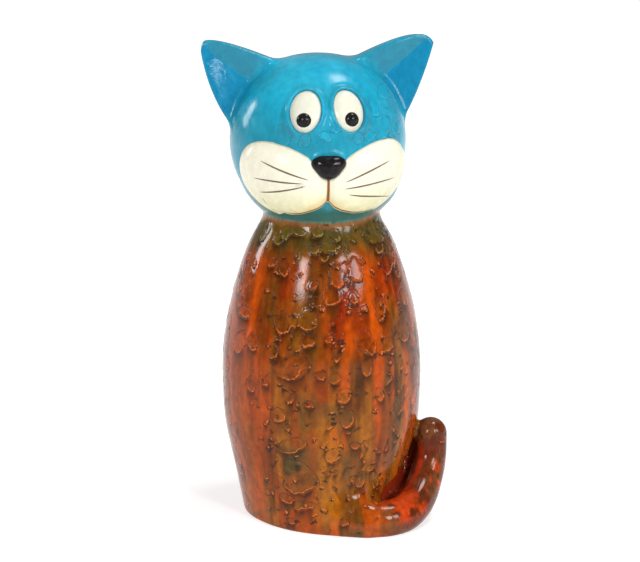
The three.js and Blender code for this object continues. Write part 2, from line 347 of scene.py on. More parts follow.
def radius_at(height):
    return np.interp(height, OUTLINE[:, 1], OUTLINE[:, 0])


def polygon_distance(points, polygon):
    """Signed distance to a closed polygon in a plane, negative inside."""
    nearest = np.full(len(points), np.inf)
    inside = np.zeros(len(points), bool)
    for a, b in zip(polygon, np.roll(polygon, -1, axis=0)):
        side = b - a
        to = points - a
        share = np.clip(to @ side / (side @ side + 1e-12), 0.0, 1.0)
        nearest = np.minimum(nearest, np.sum((to - share[:, None] * side) ** 2, axis=1))
        spans = (a[1] > points[:, 1]) != (b[1] > points[:, 1])
        crossing = side[0] * to[:, 1] / (side[1] + 1e-12) + a[0]
        inside ^= spans & (points[:, 0] < crossing)
    return np.sqrt(nearest) * np.where(inside, -1.0, 1.0)


class Sheet:
    """Values worked out on a flat grid and read back between its points."""

    def __init__(self, low, high, step, work_out):
        self.low, self.step = np.array(low, float), step
        self.axes = [np.arange(a, b + step, step) for a, b in zip(low, high)]
        grid = np.stack(np.meshgrid(*self.axes, indexing="ij"), -1)
        found = work_out(grid.reshape(-1, 2))
        self.values = found.reshape(grid.shape[:2] + found.shape[1:])

    def read(self, points):
        spot = (points - self.low) / self.step
        limit = np.array(self.values.shape[:2]) - 1.001
        spot = np.clip(spot, 0.0, limit)
        cell = spot.astype(int)
        part = spot - cell
        total = 0.0
        for corner in product((0, 1), repeat=2):
            weight = np.prod(np.where(np.array(corner), part, 1.0 - part), axis=-1)
            value = self.values[cell[:, 0] + corner[0], cell[:, 1] + corner[1]]
            total = total + (weight[:, None] if value.ndim > 1 else weight) * value
        return total


def turned_section():
    top = [(JAW_RADIUS - 0.9, JAW_HEIGHT + 8), (0, JAW_HEIGHT + 12), (-5, JAW_HEIGHT + 12), (-5, 0)]
    return np.concatenate([OUTLINE, np.array(top, float)])


TURNED = Sheet((0, -14), (76, 206), 0.5, lambda points: polygon_distance(points, turned_section()))


def turned_body(points):
    reach = np.hypot(points[:, 0], points[:, 1])
    return TURNED.read(np.stack([reach, points[:, 2]], -1))


def oval_gap(local, halves):
    """About how far outside an ellipse or an ellipsoid points are, negative inside."""
    near = np.linalg.norm(local / halves, axis=1)
    steep = np.linalg.norm(local / np.square(halves), axis=1)
    return near * (near - 1.0) / np.maximum(steep, 1e-9)


def face_frame(longitude, latitude, roll, depth):
    """Middle and axes (across, outward, along) of a spot on the head."""
    lon, lat, turn = (math.radians(a) for a in (longitude, latitude, roll))
    out = np.array([math.sin(lon) * math.cos(lat), -math.cos(lon) * math.cos(lat), math.sin(lat)])
    level = np.array([math.cos(lon), math.sin(lon), 0.0])
    upward = np.cross(out, level)
    across = level * math.cos(turn) + upward * math.sin(turn)
    along = upward * math.cos(turn) - level * math.sin(turn)
    return HEAD_CENTRE + out * depth, np.array([across, out, along])


def in_frame(points, face):
    middle, axes = face
    return (points - middle) @ axes.T


def lobe(side, points):
    face = face_frame(side * LOBE_LONGITUDE, LOBE_LATITUDE, side * LOBE_ROLL, LOBE_DEPTH)
    return oval_gap(in_frame(points, face), (LOBE_HALF_WIDTH, LOBE_BULGE, LOBE_HALF_HEIGHT))


def lobes_field(points):
    return joined(lobe(-1, points), lobe(1, points), LOBE_BLEND)


def muzzle_field(points):
    """Both lobes, their lower lip cut so that the chin rises between them."""
    ends = np.maximum(LIP[0, 0] - points[:, 0], points[:, 0] - LIP[-1, 0])
    cut_off = -above_lip(points) * 0.8 - np.maximum(ends, 0.0)
    return common(lobes_field(points), cut_off, LIP_BLEND)


def head_ball(points):
    local = points - HEAD_CENTRE
    ball = np.linalg.norm(local, axis=1) - HEAD_RADIUS
    local[:, 2] -= CROWN_HEIGHT - CROWN_RADIUS
    crown = np.linalg.norm(local, axis=1) - CROWN_RADIUS
    return common(ball, crown, CROWN_BLEND)


def eye_oval(points, side):
    """How far outside an eye's outline points are, seen square on, and their places in its frame."""
    local = in_frame(points, face_frame(side * EYE_LONGITUDE, EYE_LATITUDE, 0.0, HEAD_RADIUS))
    gap = oval_gap(local[:, [0, 2]], (EYE_HALF_WIDTH, EYE_HALF_HEIGHT))
    return gap + (local[:, 1] < -20.0) * 50.0, local


def eye_surround(points):
    """The raised rim round each eye, the groove inside it and the fuller bag below and outside."""
    rise = np.zeros(len(points))
    for side in (-1, 1):
        gap, local = eye_oval(points, side)
        angle = np.arctan2(local[:, 2] / EYE_HALF_HEIGHT, side * local[:, 0] / EYE_HALF_WIDTH)
        low_outside = 0.5 + 0.5 * np.cos(angle + math.radians(55))
        rim = EYE_RIM_RISE * bump_at(gap, 1.7, 0.9)
        bag = 1.5 * low_outside**3 * bump_at(gap, 3.2, 1.7)
        groove = 1.3 * bump_at(gap, 0.1, 0.6)
        ditch = 0.35 * bump_at(gap, 3.6, 1.0) * (1.0 - low_outside)
        rise += rim + bag - groove - ditch
    above_nose = points - HEAD_CENTRE - np.array([0.0, 0.0, NOSE_HEIGHT + 1.2])
    ring = np.hypot(above_nose[:, 0] / 1.4, above_nose[:, 2]) - 6.0
    on_front = (above_nose[:, 1] < 0.0) * smoothstep(-1.5, 3.0, above_nose[:, 2])
    return rise + 0.7 * bump_at(ring, 0.0, 0.8) * on_front


class Ear:
    """One ear in its own plane: how far outside its outline, and its shares along and across."""

    def __init__(self, side, inner_tip, outer_tip, corner):
        self.side = side
        shares = np.linspace(-EAR_ROOT_REACH, 1.0, 90)
        self.inner = self.edge(EAR_INNER_FOOT, EAR_INNER_BOW, inner_tip, shares)
        self.outer = self.edge(EAR_OUTER_FOOT, EAR_OUTER_BOW, outer_tip, shares)
        tip = bezier((inner_tip, corner, outer_tip), 18)[1:-1]
        self.polygon = np.concatenate([self.inner, tip, self.outer[::-1]])
        self.tree_spots = []
        tree = KDTree(len(shares) * 41)
        for i, along in enumerate(shares):
            for across in np.linspace(0.0, 1.0, 41):
                spot = lerp(self.inner[i], self.outer[i], across)
                tree.insert((spot[0], spot[1], 0.0), len(self.tree_spots))
                self.tree_spots.append((along, across))
        tree.balance()
        self.tree = tree
        self.sheet = Sheet((5, -14), (68, 62), 0.5, self.work_out)

    @staticmethod
    def edge(foot, bow, tip, shares):
        a, b, c = (np.array(p) for p in (foot, bow, tip))
        pull = 2 * b - 0.5 * a - 0.5 * c
        share = np.maximum(shares, 0.0)[:, None]
        curve = (1 - share) ** 2 * a + 2 * share * (1 - share) * pull + share**2 * c
        straight = a + (pull - a) * 2 * shares[:, None]
        return np.where(shares[:, None] < 0, straight, curve)

    def work_out(self, points):
        gap = polygon_distance(points, self.polygon)
        shares = np.array([self.tree_spots[self.tree.find((x, y, 0.0))[1]] for x, y in points])
        return np.concatenate([gap[:, None], shares], axis=1)

    def place(self, points):
        """How far outside the ear's outline points are, and their shares along and across it."""
        turn = math.radians(EAR_LEAN)
        local = points - HEAD_CENTRE
        x = local[:, 0] * math.cos(turn) + local[:, 2] * math.sin(turn)
        z = local[:, 2] * math.cos(turn) - local[:, 0] * math.sin(turn)
        spots = np.stack([self.side * x, z], -1)
        reach = np.maximum(np.abs(spots - np.array([36.5, 24.0])) - np.array([31.0, 37.5]), 0.0)
        gap, along, across = self.sheet.read(spots).T
        return gap + np.linalg.norm(reach, axis=1), along, across

    def field(self, points):
        gap, along, across = self.place(points)
        opened = np.clip(along, 0.0, 1.0)
        half = lerp(EAR_FOOT_THICKNESS, EAR_TIP_THICKNESS, opened) / 2
        hollow = EAR_HOLLOW_DEPTH * (1.0 - opened**3)
        rim = 0.06
        rise_in = (across - rim) / (EAR_HOLLOW_AT - rim)
        rise_out = (1.0 - rim - across) / (1.0 - rim - EAR_HOLLOW_AT)
        valley = np.clip(np.minimum(rise_in, rise_out), 0.0, 1.0)
        front = -half + hollow * valley
        back = half * (1.0 - 0.45 * np.abs(2.0 * across - 1.0) ** 3)
        depth = points[:, 1] - EAR_BACK_SHIFT
        slab = np.maximum(front - depth, depth - back)
        return common(gap, slab, EAR_EDGE_BLEND)


EARS = [
    Ear(*shape) for shape in zip((-1, 1), EAR_INNER_TIPS, EAR_OUTER_TIPS, EAR_TIP_CORNERS)
]


# Which two of its four times each step of a centripetal Catmull-Rom curve blends between
CURVE_STEPS = (((0, 1), (1, 2), (2, 3)), ((0, 2), (1, 3)), ((1, 2),))


def routed(stops, count):
    """Points along a centripetal Catmull-Rom curve through the stops, evenly spaced."""
    angle, off, height = np.array(stops, float).T
    reach, turn = radius_at(height) + off, np.radians(angle)
    stops = np.stack([reach * np.cos(turn), reach * np.sin(turn), height], -1)
    padded = np.concatenate([[2 * stops[0] - stops[1]], stops, [2 * stops[-1] - stops[-2]]])
    pieces = []
    for i in range(len(stops) - 1):
        spots = padded[i : i + 4]
        at = np.cumsum(np.sqrt(np.linalg.norm(np.diff(spots, axis=0), axis=1)))
        at = np.concatenate([[0.0], at])
        t = np.linspace(at[1], at[2], 30)[:, None]
        for step in CURVE_STEPS:
            pairs = zip(spots, spots[1:], step)
            spots = [lerp(p, q, (t - at[a]) / (at[b] - at[a])) for p, q, (a, b) in pairs]
        pieces.append(spots[0])
    line = np.concatenate(pieces)
    lengths = np.concatenate([[0.0], np.cumsum(np.linalg.norm(np.diff(line, axis=0), axis=1))])
    even = np.linspace(0.0, lengths[-1], count)
    return np.stack([np.interp(even, lengths, line[:, axis]) for axis in range(3)], -1)


# How far from a bar its distance is still worked out, more than any blend's width
BAR_REACH = 15.0


class Bar:
    """A round bar along a route, which can narrow towards its far end."""

    def __init__(self, stops, start_radius, end_radius, count=60):
        self.line = routed(stops, count)
        self.radii = np.linspace(start_radius, end_radius, count)
        self.low = self.line.min(0) - max(start_radius, end_radius) - BAR_REACH
        self.high = self.line.max(0) + max(start_radius, end_radius) + BAR_REACH

    def field(self, points):
        outside = np.maximum(np.maximum(self.low - points, points - self.high), 0.0)
        result = np.linalg.norm(outside, axis=1) + BAR_REACH
        near = np.flatnonzero(np.all(outside == 0.0, axis=1))
        best = np.full(len(near), np.inf)
        spots = points[near]
        for a, b, ra, rb in zip(self.line, self.line[1:], self.radii, self.radii[1:]):
            side = b - a
            to = spots - a
            share = np.clip(to @ side / (side @ side), 0.0, 1.0)
            gap = np.linalg.norm(to - share[:, None] * side, axis=1) - lerp(ra, rb, share)
            best = np.minimum(best, gap)
        result[near] = np.minimum(best, 60.0)
        return result


TAIL = Bar(TAIL_STOPS, TAIL_ROOT_RADIUS, TAIL_TIP_RADIUS)
WEB = Bar(WEB_STOPS, WEB_RADIUS, WEB_RADIUS, 30)
CHANNEL = Bar(CHANNEL_STOPS, CHANNEL_RADIUS, CHANNEL_RADIUS, 20)


def root_share(points):
    """From 0 on the free tail to 1 where its root runs into the front of the body."""
    angle = np.degrees(np.arctan2(points[:, 1], points[:, 0]))
    return smoothstep(-56.0, -74.0, angle)


def skin_field(points):
    """The whole glazed skin: body, tail, head and ears as one smooth surface."""
    skin = turned_body(points)
    low = points[:, 2] < TAIL_BELOW
    spots = points[low]
    lower = cut(skin[low], CHANNEL.field(spots), CHANNEL_BLEND)
    lower = joined(lower, WEB.field(spots), WEB_BLEND)
    lower = joined(lower, TAIL.field(spots), TAIL_BLEND + ROOT_EXTRA_BLEND * root_share(spots))
    skin[low] = common(lower, -spots[:, 2], UNDERSIDE_BLEND)
    high = points[:, 2] > HEAD_ABOVE
    spots = points[high]
    upper = joined(skin[high], head_ball(spots) - eye_surround(spots), HEAD_BLEND)
    for ear in EARS:
        upper = joined(upper, ear.field(spots), EAR_BLEND)
    skin[high] = upper
    return skin


# Pixels of the photograph along the lower lip, its peak under the seam
LIP_PIXELS = (
    (284, 213.5), (292, 215.2), (300, 215), (308, 213.3), (314.7, 211.2), (319.5, 209), (324.4, 206),
    (327.5, 203.3), (331, 206.3), (334, 208.6), (341, 211.8), (352, 213.8), (362, 213.2), (372, 210),
)
LIP = picked(lambda points: np.minimum(lobes_field(points), head_ball(points)), LIP_PIXELS)


def above_lip(points):
    return points[:, 2] - np.interp(points[:, 0], LIP[:, 0], LIP[:, 2])


# Meshes from fields

BLOCK = 4


def surface_net(field, low, high, cell):
    """A closed mesh of quads round the field's inside, its points moved on to the surface."""
    blocks = [math.ceil((b - a) / (BLOCK * cell)) for a, b in zip(low, high)]
    shape = tuple(n * BLOCK for n in blocks)
    starts = np.argwhere(np.ones(blocks, bool)) * BLOCK
    middles = np.array(low) + (starts + (BLOCK - 1) / 2) * cell
    rough = field(middles)
    values = np.repeat(rough.reshape(blocks), BLOCK, 0).repeat(BLOCK, 1).repeat(BLOCK, 2)
    near = starts[np.abs(rough) < BLOCK * cell * 1.3]
    inner = np.argwhere(np.ones((BLOCK,) * 3, bool))
    for part in np.array_split(near, 1 + len(near) // 4000):
        spots = (part[:, None] + inner).reshape(-1, 3)
        values[tuple(spots.T)] = field(np.array(low) + spots * cell)
    values = np.where(np.abs(values) < 1e-7, 1e-7, values)
    cells = tuple(n - 1 for n in shape)
    inside = values < 0

    def corner(array, offset):
        return array[tuple(slice(o, o + n) for o, n in zip(offset, cells))]

    corners = list(product((0, 1), repeat=3))
    filled = sum(corner(inside, c).astype(np.int8) for c in corners)
    mixed = (filled > 0) & (filled < 8)
    index = np.full(cells, -1, np.int64)
    index[mixed] = np.arange(mixed.sum())
    where = np.argwhere(mixed)
    total = np.zeros((len(where), 3))
    count = np.zeros(len(where))
    for c in corners:
        for axis in range(3):
            if c[axis]:
                continue
            d = tuple(1 if k == axis else c[k] for k in range(3))
            a = values[tuple((where + c).T)]
            b = values[tuple((where + d).T)]
            crosses = (a < 0) != (b < 0)
            share = np.where(crosses, a / np.where(crosses, a - b, 1.0), 0.0)
            spot = np.array(c, float) + np.eye(3)[axis] * share[:, None]
            total += spot * crosses[:, None]
            count += crosses
    points = np.array(low) + (where + total / count[:, None]) * cell
    faces = []
    for axis in range(3):
        one, two = (axis + 1) % 3, (axis + 2) % 3
        spans = [slice(1, n - 1) for n in shape]
        spans[axis] = slice(0, shape[axis] - 1)
        ahead = list(spans)
        ahead[axis] = slice(1, shape[axis])
        a, b = inside[tuple(spans)], inside[tuple(ahead)]
        for flip in (False, True):
            found = np.argwhere(a & ~b if flip else b & ~a)
            found[:, one] += 1
            found[:, two] += 1
            ring = []
            for step_one, step_two in ((1, 1), (0, 1), (0, 0), (1, 0)):
                at = found.copy()
                at[:, one] -= step_one
                at[:, two] -= step_two
                ring.append(index[tuple(at.T)])
            faces.append(np.stack(ring if not flip else ring[::-1], -1))
    faces = np.concatenate(faces)
    return settled(field, points, cell), faces


SLOPE_STEP = 0.05


def slope(field, points):
    parts = [field(points + d) - field(points - d) for d in np.eye(3) * SLOPE_STEP]
    return np.stack(parts, -1) / (2 * SLOPE_STEP)


def settled(field, points, cell):
    """Points moved on to the surface where the field is zero."""
    for _ in range(3):
        value = field(points)
        parts = [field(points + d) - value for d in np.eye(3) * SLOPE_STEP]
        gradient = np.stack(parts, -1) / SLOPE_STEP
        steep = np.sum(gradient**2, axis=1) + 1e-6
        move = -value[:, None] * gradient / steep[:, None]
        length = np.linalg.norm(move, axis=1, keepdims=True)
        points = points + move * np.minimum(1.0, 0.5 * cell / np.maximum(length, 1e-9))
    return points


def meshed(field, low, high, cells):
    """A closed mesh of the field's surface, with the way out at each of its points."""
    points, faces = surface_net(field, low, high, cells[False])
    return points, faces, unit(slope(field, points))


def made_piece(name, points, faces, paints, material):
    """A mesh object that rides on the casting, with its painted values at each point."""
    mesh = bpy.data.meshes.new(name)
    mesh.vertices.add(len(points))
    mesh.vertices.foreach_set("co", (points * MM).astype(np.float32).ravel())
    mesh.loops.add(faces.size)
    mesh.loops.foreach_set("vertex_index", faces.astype(np.int32).ravel())
    mesh.polygons.add(len(faces))
    mesh.polygons.foreach_set("loop_start", np.arange(0, faces.size, faces.shape[1], dtype=np.int32))
    mesh.update(calc_edges=True)
    mesh.validate()
    mesh.polygons.foreach_set("use_smooth", np.ones(len(mesh.polygons), bool))
    for title, values in paints.items():
        values = np.asarray(values, np.float32)
        if values.ndim == 1:
            layer = mesh.attributes.new(title, "FLOAT", "POINT")
            layer.data.foreach_set("value", values)
        else:
            layer = mesh.color_attributes.new(title, "FLOAT_COLOR", "POINT")
            full = np.concatenate([values, np.ones((len(values), 1), np.float32)], axis=1)
            layer.data.foreach_set("color", full.ravel())
    mesh.materials.append(material)
    piece = bpy.data.objects.new(name, mesh)
    bpy.context.scene.collection.objects.link(piece)
    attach(piece, "root")
    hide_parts("cat_figurine")


# Colours, as they are seen in plain light


def tint(red, green, blue):
    share = np.array([red, green, blue]) / 255.0
    return np.where(share <= 0.04045, share / 12.92, ((share + 0.055) / 1.055) ** 2.4)


RUST = tint(160, 78, 28)
DEEP_RED = tint(148, 44, 14)
ORANGE = tint(206, 92, 22)
LIP_ORANGE = tint(222, 112, 42)
OLIVE_GOLD = tint(150, 128, 58)
BROWN = tint(116, 72, 34)
DARK_BROWN = tint(66, 44, 24)
OCHRE = tint(166, 108, 38)
OLIVE = tint(98, 92, 50)
GREY_GREEN = tint(84, 84, 64)
CYAN = tint(24, 158, 190)
LIGHT_CYAN = tint(54, 186, 216)
DEEP_BLUE = tint(14, 130, 182)
GREY_TEAL = tint(44, 138, 158)
SLATE_TEAL_AND_SHEEN = tint(52, 130, 152)
EAR_BLUE = tint(20, 124, 166)
# The chin's teal, darkened with painted shade from the head and muzzle above it
CHIN_TEAL_IN_SHADE = tint(66, 108, 92)
CREAM = tint(231, 227, 206)
YELLOW_CREAM = tint(222, 218, 150)
GOLD = tint(176, 116, 36)
HONEY = tint(222, 178, 84)
POOLED_GLAZE_AND_SHADOW = tint(50, 31, 18)
MAROON = tint(92, 36, 22)
UMBER = tint(104, 62, 42)
HOLLOW_RED_IN_SHADE = tint(142, 40, 16)
EMBER = tint(206, 66, 18)
BODY_LINE = tint(44, 28, 16)
HEAD_LINE = tint(8, 78, 104)
EYE_LINE = tint(10, 84, 104)
RIM_BROWN = tint(88, 52, 24)
SEAM_BROWN = tint(128, 80, 28)
WHISKER_BROWN = tint(84, 54, 32)

# What the amber glaze lets through of the colours under it
AMBER = np.array([0.81, 0.65, 0.32])
HEAD_TONE = 0.92
TAIL_TONE = np.array([0.92, 0.88, 0.70])

# Raised blobs that the photograph shows on the front of the body: the pixel of the middle, half
# width and half height in pixels, lean in degrees and the colour inside
FRONT_BLOBS = (
    (287, 232, 5, 6, 0, OLIVE), (298, 232, 8, 4, 0, OLIVE), (278, 240, 5, 5, 0, OLIVE),
    (317, 232, 7, 6, 0, GREY_GREEN), (335, 234, 5, 5, 0, GREY_GREEN), (316, 249, 5, 5, 0, OCHRE),
    (325, 255, 5, 5, 0, OCHRE), (330, 247, 8, 6, 0, OLIVE), (375, 237, 9, 6, 0, RUST),
    (378, 244, 6, 7, 0, RUST), (272, 263, 4, 4, 0, RUST), (284, 269, 6, 6, 0, BROWN),
    (314, 286, 6, 5, 0, DEEP_RED), (337, 277, 8, 10, 0, ORANGE), (332, 296, 9, 9, 0, ORANGE),
    (344, 268, 5, 6, 0, DEEP_RED), (356, 270, 7, 11, 0, RUST), (387, 263, 6, 10, 8, DEEP_RED),
    (392, 258, 3, 5, 0, RUST), (353, 298, 5, 5, 0, RUST), (364, 308, 4, 3, 0, DEEP_RED),
    (380, 306, 6, 9, 20, RUST), (380, 315, 5, 6, 20, RUST), (404, 298, 4, 8, 5, OCHRE),
    (308, 320, 10, 10, -20, OCHRE), (283, 323, 8, 10, 0, BROWN), (295, 322, 7, 6, 0, OCHRE),
    (308, 341, 7, 7, 0, RUST), (327, 340, 4, 4, 0, DEEP_RED), (333, 323, 3, 2, 0, ORANGE),
    (252, 342, 6, 8, 0, RUST), (240, 341, 6, 11, 0, ORANGE), (244, 312, 6, 5, 0, ORANGE),
    (367, 342, 8, 13, 10, DEEP_RED), (388, 344, 6, 7, 0, OCHRE), (403, 327, 6, 15, 10, BROWN),
    (412, 338, 3, 10, 0, BROWN), (367, 366, 7, 10, 0, RUST), (290, 368, 16, 12, 12, RUST),
    (273, 351, 6, 7, 25, BROWN), (251, 384, 5, 8, 0, RUST), (336, 358, 5, 4, 0, DEEP_RED),
    (335, 378, 6, 6, 0, BROWN), (321, 375, 6, 5, 0, BROWN), (380, 395, 4, 8, 15, OCHRE),
    (387, 380, 6, 4, 30, GREY_GREEN), (344, 396, 8, 7, 0, OCHRE), (265, 383, 4, 4, 0, RUST),
    (278, 415, 8, 7, 20, RUST), (309, 404, 6, 4, 0, DEEP_RED), (346, 418, 8, 11, 10, GREY_GREEN),
    (331, 424, 4, 6, -20, OCHRE), (398, 408, 4, 8, 30, BROWN), (355, 446, 7, 4, 0, RUST),
    (290, 446, 17, 7, 18, BROWN), (379, 450, 3, 3, 0, RUST), (370, 468, 4, 4, 0, OLIVE),
    (361, 479, 6, 8, 0, GREY_GREEN), (374, 480, 4, 10, 15, GREY_GREEN), (287, 498, 8, 5, 0, BROWN),
    (303, 505, 11, 5, 8, OLIVE), (298, 478, 17, 18, 0, OLIVE), (292, 520, 5, 4, 0, BROWN),
    (340, 516, 4, 4, 0, RUST), (333, 456, 8, 8, 0, OCHRE), (267, 476, 3, 4, -20, BROWN),
)

# Brush strokes of colour that run down the front: the pixels where each starts and ends, half width
# in pixels, colour and strength
FRONT_STROKES = (
    (268, 238, 262, 290, 5, RUST, 0.7), (262, 262, 248, 345, 5, ORANGE, 0.8),
    (258, 345, 255, 420, 5, ORANGE, 0.6), (266, 290, 262, 360, 5, BROWN, 0.7),
    (278, 262, 274, 330, 6, BROWN, 0.7), (296, 238, 292, 300, 6, RUST, 0.6),
    (304, 225, 302, 262, 4, OCHRE, 0.6), (316, 262, 312, 300, 9, BROWN, 0.7),
    (296, 300, 297, 350, 7, OCHRE, 0.6), (322, 300, 326, 360, 6, RUST, 0.7),
    (346, 300, 349, 352, 5, ORANGE, 0.9), (337, 318, 337, 350, 10, DEEP_RED, 0.7),
    (358, 302, 362, 335, 9, DEEP_RED, 0.7), (361, 235, 370, 312, 4, ORANGE, 0.9),
    (350, 238, 352, 300, 7, DEEP_RED, 0.7), (392, 300, 402, 380, 6, OCHRE, 0.5),
    (372, 310, 378, 400, 4, ORANGE, 0.8), (378, 262, 380, 300, 9, DEEP_RED, 0.6),
    (386, 235, 412, 320, 4, ORANGE, 0.6), (397, 262, 408, 300, 6, BROWN, 0.6),
    (392, 300, 394, 340, 5, BROWN, 0.7), (415, 320, 416, 420, 4, RUST, 0.8),
    (309, 392, 309, 470, 8, BROWN, 0.5), (322, 420, 322, 520, 7, GOLD, 0.8),
    (333, 440, 331, 520, 8, GOLD, 0.8), (352, 420, 350, 500, 6, OCHRE, 0.5),
    (346, 455, 348, 480, 5, GREY_GREEN, 0.5), (296, 448, 296, 470, 12, GREY_GREEN, 0.8),
    (285, 506, 284, 530, 6, GREY_GREEN, 0.5), (262, 400, 262, 515, 7, ORANGE, 0.5),
    (242, 380, 246, 500, 8, RUST, 0.6), (250, 390, 252, 420, 3, DEEP_RED, 0.6),
    (291, 476, 289, 505, 7, ORANGE, 0.6), (384, 400, 380, 500, 9, ORANGE, 0.4),
    (388, 238, 398, 305, 8, DEEP_RED, 0.6), (342, 280, 345, 320, 7, DEEP_RED, 0.9),
    (232, 420, 240, 480, 5, BROWN, 0.5), (300, 395, 303, 430, 5, GREY_GREEN, 0.5),
    (375, 420, 372, 470, 6, BROWN, 0.5), (390, 400, 384, 470, 6, BROWN, 0.5),
    (330, 515, 350, 530, 8, RUST, 0.7), (368, 505, 385, 516, 6, ORANGE, 0.8),
)

# Faint raised blobs on the head, in the same order as the body's
HEAD_BLOBS = (
    (383, 92, 5, 8, 0, CYAN), (385, 126, 6, 11, 0, CYAN), (370, 136, 7, 5, 30, CYAN),
    (396, 127, 5, 10, 0, CYAN), (374, 108, 5, 9, 20, CYAN), (326, 137, 7, 4, -25, LIGHT_CYAN),
    (336, 129, 5, 4, 0, CYAN), (282, 136, 8, 10, 0, GREY_TEAL), (305, 141, 6, 7, 0, GREY_TEAL),
    (358, 138, 6, 4, 30, CYAN),
)


# Painting by position


def round_the_body(points):
    return np.arctan2(points[:, 1], points[:, 0]), points[:, 2]


def wrapped(angle):
    return (angle + math.pi) % (2 * math.pi) - math.pi


def body_blobs():
    """Middle angle and height, half sizes, lean and colour of every blob, the back's made up."""
    spots = picked(turned_body, [blob[:2] for blob in FRONT_BLOBS])
    angles, heights = round_the_body(spots)
    blobs = []
    for blob, angle, height in zip(FRONT_BLOBS, angles, heights):
        squeeze = max(0.35, math.cos(wrapped(angle - FACING)))
        blobs.append((angle, height, blob[2] * PIXEL / squeeze, blob[3] * PIXEL, blob[4], blob[5]))
    random = np.random.default_rng(SEED)
    inks = (RUST, DEEP_RED, ORANGE, BROWN, OCHRE, OLIVE)
    tries = 0
    while len(blobs) < BLOB_COUNT and tries < BLOB_TRIES:
        tries += 1
        hidden = random.random() < HIDDEN_SHARE
        angle = FACING + (random.uniform(0.36, 1.68) if hidden else random.uniform(-0.2, 0.4)) * math.pi
        height = random.uniform(8.0, 156.0)
        half_width = random.uniform(1.4, 3.8) if random.random() < 0.8 else random.uniform(4.5, 8.0)
        if not hidden:
            half_width = random.uniform(0.7, 1.8)
        half_height = half_width * random.uniform(0.8, 1.7)
        reach = radius_at(height)
        clear = all(
            math.hypot(wrapped(angle - b[0]) * reach, height - b[1])
            > 0.9 * (half_width + b[2]) * random.uniform(0.6, 1.6)
            for b in blobs
        )
        if clear:
            lean = random.uniform(-25, 25)
            blobs.append((angle, height, half_width, half_height, lean, inks[random.integers(6)]))
    return blobs


class Relief:
    """Values of raised blobs at each point of a surface that is unrolled round an axis."""

    def __init__(self, points):
        count = len(points)
        self.sway = [
            1.9 * (noise(points / 4.2, seed) - 0.5) + 0.9 * (noise(points / 1.9, seed + 5) - 0.5)
            for seed in (201, 301)
        ]
        self.gap = np.full(count, 30.0)
        self.low_side = np.zeros(count)
        self.shade = np.zeros(count)
        self.ink = np.zeros((count, 3))

    def add(self, number, across, up, half_width, half_height, lean, ink):
        near = np.flatnonzero(
            (np.abs(across) < half_width * 1.5 + half_height + 3.0)
            & (np.abs(up + 3.0) < half_height * 1.4 + half_width + 9.0)
        )
        x, y = across[near] + self.sway[0][near], up[near] + self.sway[1][near]
        turn = math.radians(lean)
        x, y = x * math.cos(turn) + y * math.sin(turn), y * math.cos(turn) - x * math.sin(turn)
        angle = np.arctan2(y / half_height, x / half_width)
        random = np.random.default_rng(SEED + number)
        swell = 1.0
        for lobes in (2, 3, 5, 8):
            size = random.uniform(0.02, 0.11) * (1.0 if lobes < 5 else 0.5)
            swell = swell + size * np.sin(lobes * angle + random.uniform(0, 6.28))
        halves = np.stack([half_width * swell, half_height * swell], -1)
        gap = oval_gap(np.stack([x, y], -1), halves)
        nearer = gap < self.gap[near]
        chosen = near[nearer]
        self.gap[chosen] = gap[nearer]
        self.low_side[chosen] = (-np.sin(angle) + 0.25 * np.cos(angle))[nearer]
        self.ink[chosen] = ink
        # Below each blob a dark smear that fades downwards, partly pooled glaze and partly painted shadow
        under = -y - half_height * np.sqrt(np.clip(1.0 - (x / half_width) ** 2, 0.0, 1.0))
        fade = smoothstep(-0.4, 0.8, under) * np.exp(-np.maximum(under, 0.0) / 3.6)
        fade *= smoothstep(1.15, 0.7, np.abs(x) / half_width)
        self.shade[near] = np.maximum(self.shade[near], fade)


def height_of(relief):
    plateau = BLOB_RISE * smoothstep(0.5, -0.9, relief.gap)
    lip = BLOB_LIP_RISE * np.clip(relief.low_side, 0.0, 1.0) * bump_at(relief.gap, -0.5, 0.7)
    ditch = BLOB_DITCH * bump_at(relief.gap, 0.7, 0.6)
    return plateau + lip - ditch


def stroke_weight(angles, heights, start, end, half_width):
    start_angle, start_height = start
    end_angle, end_height = end
    share = (heights - start_height) / (end_height - start_height)
    middle = start_angle + wrapped(end_angle - start_angle) * share
    off = wrapped(angles - middle) * radius_at(heights)
    wander = 1.5 * (noise(np.stack([heights / 11.0, middle * 3, heights * 0], -1), 7) - 0.5)
    ends = smoothstep(-0.12, 0.12, share) * smoothstep(1.12, 0.88, share)
    return bump_at(off, wander, half_width) * ends


def mixed_in(colour, ink, weight):
    return colour + (ink - colour) * np.clip(weight, 0.0, 1.0)[:, None]


def coat(ink, points):
    return np.tile(ink, (len(points), 1))


def collar_lift(points):
    """How much higher the line between body and head is painted at one side."""
    return 4.5 * smoothstep(16.0, 30.0, points[:, 0])


